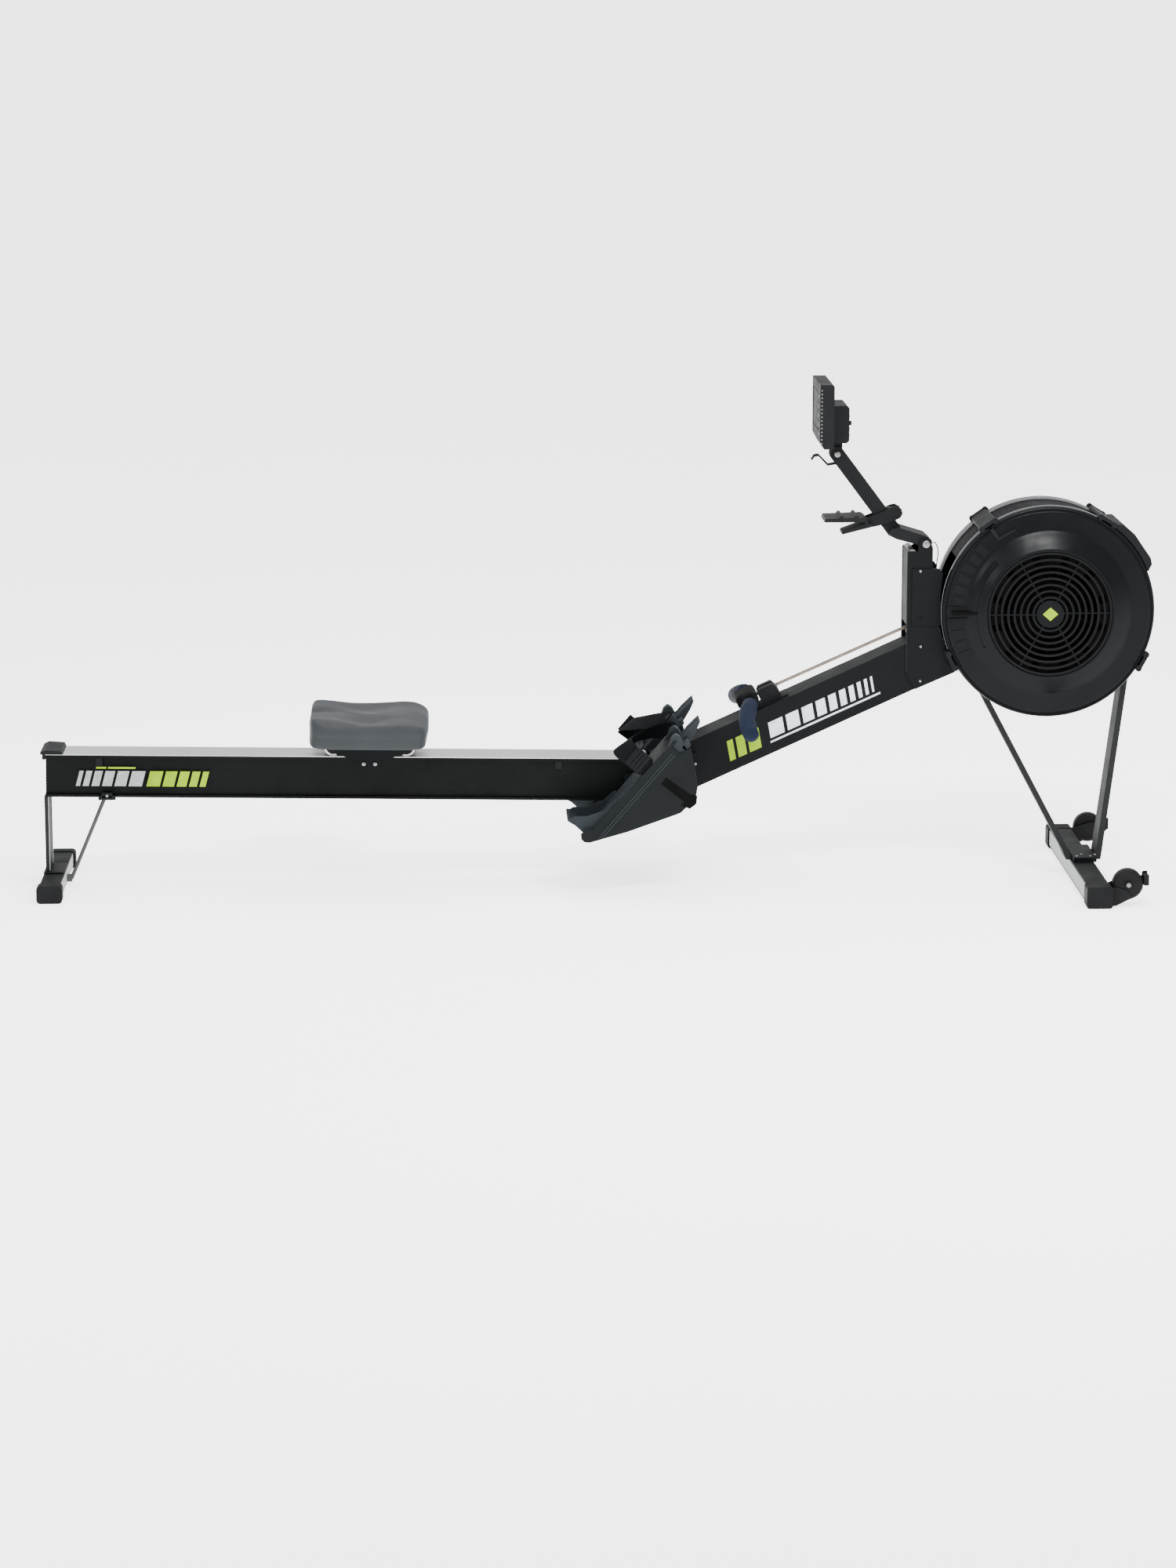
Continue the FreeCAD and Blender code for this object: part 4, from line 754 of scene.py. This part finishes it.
def make_heel(side, sign, band):
    """Sliding heel piece: ribbed plate, rounded cup and raised cheeks."""
    pieces = [band("heel_plate", ((-6, 0.6), (190, 0.6), (190, 3.4), (-6, 3.4)), 67, 96, FOOT)]
    for index in range(13):
        start = 30 + 12 * index
        pieces.append(band("heel_rib", ((start, 3.2), (start + 5, 3.2), (start + 4, 4.8), (start + 1, 4.8)),
                           74, 82, FOOT))
    cheek = ((-9, 0.6), (90, 0.6), (88, 9), (52, 14), (20, 34), (2, 54), (-9, 58))
    for inner in (66, 160.4):
        pieces.append(band("heel_cheek", cheek, inner, 3.6, FOOT))
    cup = ((-13, 2), (-9, 0.6), (-4, 0.6), (-6, 20), (-5, 44), (-8, 61), (-13, 63), (-16, 58), (-13, 40),
           (-14, 18))
    pieces.append(band("heel_cup", cup, 67, 96, FOOT))
    made = joined(f"heel_piece_{side}", pieces)
    finish_piece(made, f"flexfoot_{side}", "heel_gray", bevel=1.2, replaced=(f"flexfoot_{side}",))


# ---------------------------------------------------------------- flywheel housing


# The near cover's section as (y, radius): rim, step, flat ring, cone and mouth outside, then back inside.
COVER_SECTION = ((-60, 233), (-74, 233), (-77, 232.4), (-79, 231), (-80, 229), (-79.6, 227.4), (-78, 226.2),
                 (-78, 224.4), (-80.4, 223.2), (-81.6, 221), (-82, 218), (-82, 184), (-82.6, 181.4),
                 (-84, 178.6), (-88, 172.4), (-94, 162), (-99.6, 151.6), (-103, 144.8), (-104.6, 142),
                 (-105, 139.8), (-104.4, 137.8), (-102, 137), (-99.6, 137.4), (-99, 141), (-92, 155),
                 (-80, 174), (-79, 183), (-79, 214), (-76, 222), (-75, 228), (-72, 230), (-60, 230))


def make_near_cover():
    """Dished cover with the curved groove above the damper's lever, and its raised scale."""
    dish = lathe("cover_near_dish", COVER_SECTION, steps=192)
    slot = arc_block("slot_cutter", (136, 208), (120, 176), (-96.4, -91.6))
    carve(dish, slot)
    finish_piece(dish, "front_frame", "housing_black", replaced=("cover_right",))
    make_scale_pads()


def arc_block(name, angles, radii, depths, steps=40):
    """A block that follows the cover round between two angles."""
    outline = []
    for radius, order in ((radii[0], range(steps + 1)), (radii[1], range(steps, -1, -1))):
        for step in order:
            turn = math.radians(angles[0] + (angles[1] - angles[0]) * step / steps)
            outline.append((radius * math.cos(turn), radius * math.sin(turn)))
    return prism(name, outline, depths[0], depths[1], WHEEL)


def carve(made, cutter):
    """Cut one mesh out of another for good, and drop the cutter."""
    modifier = made.modifiers.new("carve", "BOOLEAN")
    modifier.object = cutter
    modifier.solver = "EXACT"
    bpy.context.view_layer.update()
    shaped = made.evaluated_get(bpy.context.evaluated_depsgraph_get())
    made.data = bpy.data.meshes.new_from_object(shaped)
    made.modifiers.clear()
    bpy.data.objects.remove(cutter)


def make_scale_pads():
    """Raised pads along the lever's scale, a bracket by the first of them, and two ribs beside the lever."""
    pads = []
    for index in range(11):
        start = 134 + 7 * index
        if 174 < start < 183:
            continue
        radii = (188, 217 - 3 * (index % 2))
        pads.append(arc_block("scale_pad", (start + 0.8, start + 5.6), radii, (-84.4, -81.4), 4))
    for angle in (176.4, 183.6):
        pads.append(arc_block("lever_rib", (angle - 0.4, angle + 0.4), (176, 222), (-86, -81.4)))
    made = joined("scale_pads", pads)
    finish_piece(made, "front_frame", "housing_black", bevel=1.0)
    hook = [arc_block("hook_stem", (124, 126), (200, 226), (-86, -80)),
            arc_block("hook_foot", (113, 126), (196, 201), (-86, -80))]
    finish_piece(joined("cover_hook", hook), "front_frame", "black_plastic", bevel=1.0)


RIM_RADIUS = 233.6


def make_clips():
    """Clamps on the rims, and the carrying plate between two of them."""
    pieces = []
    for angle in (125, 58, -28):
        pieces += clamp(angle, -84, 172)
    for low in (-84, 54):
        pieces += clamp(207, low, 32)
    made = joined("rim_clamps", pieces)
    finish_piece(made, "front_frame", "black_plastic", bevel=2.0, replaced=("housing_clips",))
    turns = [math.radians(turn) for turn in range(22, 56, 3)]
    rim = [(RIM_RADIUS * math.cos(turn), RIM_RADIUS * math.sin(turn)) for turn in turns]
    outline = rim + [(161, 192), (186, 170), (222, 118), (225, 104)]
    finish_piece(prism("carry_plate", outline, -78, 82, WHEEL), "front_frame", "black_plastic", bevel=1.5)


def polar_slab(name, angle, radii, length, low, width):
    """A straight block across a radius of the flywheel, with its outer corners cut back."""
    turn = math.radians(angle)

    def spot(outward, sideways):
        return (outward * math.cos(turn) - sideways * math.sin(turn),
                outward * math.sin(turn) + sideways * math.cos(turn))

    outline = [spot(radii[0], length / 2), spot(radii[0], -length / 2), spot(radii[1], -length / 2 + 4),
               spot(radii[1], length / 2 - 4)]
    return prism(name, outline, low, low + width, WHEEL)


def clamp(angle, low, width):
    """One clamp: a bridge, two jaws and two round bosses on each jaw."""
    pieces = [polar_slab("clamp_bridge", angle, (233.4, 240), 44, low + 4, width - 8)]
    turn = math.radians(angle)
    for end in (low, low + width - 12):
        pieces.append(polar_slab("clamp_jaw", angle, (233.4, 242), 48, end, 12))
        for side in (-17, 17):
            across = 236 * math.cos(turn) - side * math.sin(turn)
            up = 236 * math.sin(turn) + side * math.cos(turn)
            place = tilted(WHEEL_CENTRE[0] + across, WHEEL_CENTRE[1] + up, 0)
            profile = [(end - 0.5, 0.5), (end - 0.5, 7), (end + 12.5, 7), (end + 12.5, 0.5)]
            pieces.append(lathe("clamp_boss", profile, place, 24))
    return pieces


def make_hub_mark():
    """Black disc in the middle of the grille with a plain lime diamond on it."""
    disc = lathe("hub_disc", [(-105.6, 1), (-105.6, 27), (-105, 27.6), (-104, 27.6), (-104, 1)], WHEEL, 48)
    finish_piece(disc, "front_frame", "housing_black", bevel=0.3)
    mark = prism("hub_diamond", ((0, -15), (17, 0), (0, 15), (-17, 0)), -106.2, -105.4, WHEEL)
    finish_piece(mark, "front_frame", "housing_black", "lime")


def make_rim_highlight_rings():
    """Thin pale ring along the inner edge of each cover's rim: a painted highlight of the rim's edge."""
    for name, low in (("near", -61), ("far", 65)):
        profile = [(low, 228.4), (low, RIM_RADIUS), (low + 3, RIM_RADIUS), (low + 3, 228.4)]
        # Pale ring on the rim's inner edge: a painted highlight.
        edge = lathe(f"rim_highlight_ring_{name}", profile, WHEEL, 160)
        finish_piece(edge, "front_frame", "housing_black", "painted_rim_highlight", bevel=0.5)


# ---------------------------------------------------------------- stickers

SLANT = 0.25
WALL_HALF = 46


def bars(name, spots, heights, body, slot, look, place):
    """Slanted flat bars, one for each (start, width) pair, on both side walls."""
    low, high = heights
    lean = (high - low) * SLANT
    pieces = []
    for start, width in spots:
        outline = [(start, low), (start + width, low), (start + width + lean, high), (start + lean, high)]
        for y in (-WALL_HALF - 0.25, WALL_HALF + 0.03):
            pieces.append(prism("bar", outline, y, y + 0.22, place))
    return finish_piece(joined(name, pieces), body, slot, look)


def make_stickers():
    """Plain slanted bars where the rail and the beam carry print."""
    def on_rail(name, spots, heights, look):
        bars(name, spots, heights, "monorail", "rail_black", look, RAIL)

    def on_beam(name, spots, heights, look):
        bars(name, spots, heights, "front_frame", "black_steel", look, BEAM)

    widening = [(-1140, 9), (-1125, 13), (-1106, 17), (-1083, 21), (-1056, 25), (-1025, 29)]
    on_rail("rail_sticker_silver", widening, (-70, -36), "silver")
    narrowing = [(-986, 29), (-951, 25), (-920, 21), (-893, 17), (-870, 13)]
    on_rail("rail_sticker_lime", narrowing, (-70, -36), "lime")
    on_rail("rail_sticker_line", [(-1096, 22), (-1070, 60)], (-31, -27), "lime")
    fading = [(252, 34), (294, 30), (332, 26), (366, 22), (396, 18), (422, 15), (445, 12), (465, 9), (482, 7),
              (497, 5)]
    on_beam("beam_sticker_white", fading, (-68, -34), "white")
    on_beam("beam_sticker_line", [(248, 264)], (-78, -74), "white")
    on_beam("beam_sticker_lime", [(150, 14), (171, 20), (198, 28)], (-78, -34), "lime")


# ---------------------------------------------------------------- monitor, arm and small parts


def screw_heads(name, spots, body, radius=3.0, slot="bright_steel", height=1.2, sides=20):
    """Domed heads on side faces, one for each (x, z, outer face y, outward sign)."""
    heads = []
    for x, z, face, sign in spots:
        profile = [(face, 0.3), (face, radius), (face + sign * height * 0.5, radius),
                   (face + sign * height, radius * 0.7), (face + sign * height, 0.3)]
        heads.append(lathe("head", profile, tilted(x, z, 0), sides))
    return finish_piece(joined(name, heads), body, slot)


def make_monitor_details():
    """Studs along the monitor's edges, a raised frame round the screen and ribs on the back."""
    spots = [(484.6, 986 + 8.2 * index) for index in range(15)]
    vents = [(x, z, face, sign) for x, z in spots for face, sign in ((-92, -1), (92, 1))]
    screw_heads("monitor_edge_studs", vents, "monitor", 1.5, height=0.5, sides=12)
    frame_bar = [block("bezel_top", (480.3, -58, 1090.4), (1.6, 136, 2.4)),
                 block("bezel_low", (480.3, -58, 1009.2), (1.6, 136, 2.4)),
                 block("bezel_in", (480.3, -58.4, 1009.2), (1.6, 2.2, 83.6)),
                 block("bezel_out", (480.3, 76.2, 1009.2), (1.6, 2.2, 83.6))]
    finish_piece(joined("screen_bezel", frame_bar), "monitor", "black_plastic", bevel=0.5)
    ribs = [block("back_rib", (548, -50, 996 + 14 * index), (1.6, 100, 4)) for index in range(4)]
    finish_piece(joined("back_ribs", ribs), "monitor", "black_plastic", bevel=0.6)


def make_frame_bolts():
    """Domed heads in place of the plain bolts, the pins inside the frame, and the foot plate's bolts."""
    silver, dark = [], []
    for sign in (1, -1):
        silver += [(708, 699, sign * 53.4, sign), (711, 531, sign * 50.5, sign),
                   (711, 454, sign * 50.5, sign), (218, 272, sign * 50.5, sign)]
        dark.append((709, 596, sign * 53.4, sign))
    heads = screw_heads("frame_bolt_heads", silver, "front_frame", 3.2, height=2.2)
    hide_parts("frame_bolts")
    pins = [lathe("pivot_shaft", [(-50, 0.4), (-50, 6), (50, 6), (50, 0.4)], tilted(720, 758, 0), 24)]
    for along, above in ((60, -50), (614.3, -65)):
        spot = BEAM(along, 0, above) / MM
        profile = [(-43, 0.4), (-43, 4), (43, 4), (43, 0.4)]
        pins.append(lathe("beam_pin", profile, tilted(spot.x, spot.z, 0), 24))
    finish_piece(joined("frame_pins", pins), "front_frame", "bright_steel")
    screw_heads("frame_bolt_heads_dark", dark, "front_frame", 3.2, "black_steel", 2.2)
    plate = []
    for x, y in ((1066, -50), (1078, -34), (1096, -50), (1108, -34)):
        spots = [Vector((x, y, z)) * MM for z in (55.5, 56.5, 57.6, 58.2)]
        plate.append(tube("plate_bolt", spots, [3.6 * MM, 3.6 * MM, 3.2 * MM, 1.8 * MM]))
    finish_piece(joined("front_plate_bolts", plate), "front_frame", "bright_steel")


def make_arm_details():
    """Heads of the arm's two pivots, a bright steel rod along the upright's rounded top corner that is a
    painted highlight, and the folded edges of the upright.
    """
    heads = [(526.5, 952.6, sign * 20, sign) for sign in (1, -1)]
    screw_heads("arm_top_bolt", heads, "monitor_arm", 6.5, height=2.2, sides=32)
    heads = [(720, 758, sign * 50.5, sign) for sign in (1, -1)]
    screw_heads("pivot_bolt_heads", heads, "front_frame", 8, height=2.4, sides=32)
    # Bright steel rod along the upright's rounded top corner: a painted highlight.
    corner_highlight_rod = lathe("upright_corner_highlight", [(-46, 1), (-46, 9), (-44, 10), (44, 10), (46, 9), (46, 1)],
                    tilted(690, 737, 0), 32)
    finish_piece(corner_highlight_rod, "front_frame", "bright_steel")
    folds = [block(f"fold_{index}", (678.8, y, 474), (3, 5, 266)) for index, y in enumerate((-50.4, 45.4))]
    finish_piece(joined("upright_folds", folds), "front_frame", "gray_steel", bevel=1.2)


def make_feet_details():
    """Pale faces and edges of both feet, the rail's end plug, the brace's covers, and small heads."""
    face = block("rear_foot_face", (-1169.8, -149, 7), (0.8, 298, 28))
    finish_piece(face, "monorail", "gray_steel", "pale_steel", bevel=0.3)
    face = block("front_foot_face", (1052.3, -261, 9), (0.8, 522, 34))
    finish_piece(face, "front_frame", "gray_steel", "pale_steel", bevel=0.3)
    ribs = [block("foot_rib", (-1214, low, 39.4), (43, 5, 1.2)) for low in (-56, 51)]
    finish_piece(joined("rear_foot_ribs", ribs), "monorail", "black_rubber", bevel=0.4)
    for name, low in (("leg_edge_near", -39), ("leg_edge_far", 33)):
        edge = block(name, (-1203.2, low, 41), (1.2, 6, 166))
        finish_piece(edge, "monorail", "gray_steel", "pale_steel", bevel=0.4)
    plug = block("rail_end_plug", (-1205.6, -33.4, -91.4), (3, 66.8, 80.8), RAIL)
    finish_piece(plug, "monorail", "black_plastic", bevel=0.8)
    covers, screws = [], []
    for sign in (1, -1):
        low = 49.8 if sign > 0 else -52.6
        covers.append(block("brace_cover", (-1092, low, 201.6), (38, 2.8, 10)))
        covers.append(block("brace_cover_top", (-1085, low, 206), (24, 2.8, 12)))
        screws.append((-1073, 211, sign * 52.6, sign))
    finish_piece(joined("brace_covers", covers), "monorail", "black_plastic", bevel=1.2)
    screw_heads("brace_screws", screws, "monorail", 3, height=1.4)
    gussets = []
    for sign in (1, -1):
        low = 286.8 if sign > 0 else -290
        outline = ((1103, 1), (1116, 3), (1150, 20), (1137, 37), (1120, 42), (1103, 44))
        gussets.append(prism("gusset", outline, low, low + 3.2))
    finish_piece(joined("caster_gussets", gussets), "front_frame", "black_rubber", bevel=1.0)
    hubs = [(1141, 48.5, sign * 290.5, sign) for sign in (1, -1)]
    screw_heads("caster_axle_heads", hubs, "front_frame", 5, height=1.5)
    guides = []
    for along in (-12.5, 12.5):
        spot = SEAT(along, 0, -15.15) / MM
        guides += [(spot.x, spot.z, sign * 52.6, sign) for sign in (1, -1)]
    screw_heads("guide_pin_heads", guides, "seat", 4.2, height=1.4)


# ---------------------------------------------------------------- carried-over CAD nodes

BEVELS = {
    "monitor_case": 1.6, "monitor_arm": 1.6, "device_holder": 1.2, "handle_holder": 1.5, "rail_end_cap": 1.6,
    "upright_bracket": 1.0, "front_foot": 1.5, "rear_foot": 1.5, "front_leg_front": 1.0,
    "front_leg_rear": 1.0, "rear_leg": 0.8, "main_beam": 2.0, "monorail": 0.8, "rail_socket": 1.0,
    "front_foot_caps": 1.5, "rear_foot_caps": 1.2, "seat_carriage": 0.6, "intake_grille": 0.6,
    "rail_stops": 1.0, "handle_bar": 0.6,
}


def dress_nodes():
    """Materials and softened edges for the CAD nodes that stay in view."""
    looks = {part["node"]: part["material_slot"] for part in frame["record"]["subparts"]}
    looks["housing_screen"] = "perforated"
    looks["front_foot"] = looks["rear_foot"] = "black_steel"
    looks["rear_brace"] = "strut_gray"
    looks["damper_lever"] = "damper_dark"
    looks["seat_rollers_front"] = looks["seat_rollers_rear"] = "roller_dark"
    for name, thing in NODES.items():
        material = PALETTE[looks[name]]
        if not thing.material_slots:
            thing.data.materials.append(material)
        for place in thing.material_slots:
            place.material = material
        if name in BEVELS:
            add_bevel(thing, BEVELS[name])


make_camera()
make_studio()
dress_nodes()
make_seat()
make_carriage_details()
make_handle()
make_chain()
both_sides(make_strap)
make_buckles()
both_sides(make_footboard)
make_near_cover()
make_clips()
make_hub_mark()
make_rim_highlight_rings()
make_stickers()
make_monitor_details()
make_frame_bolts()
make_arm_details()
make_feet_details()
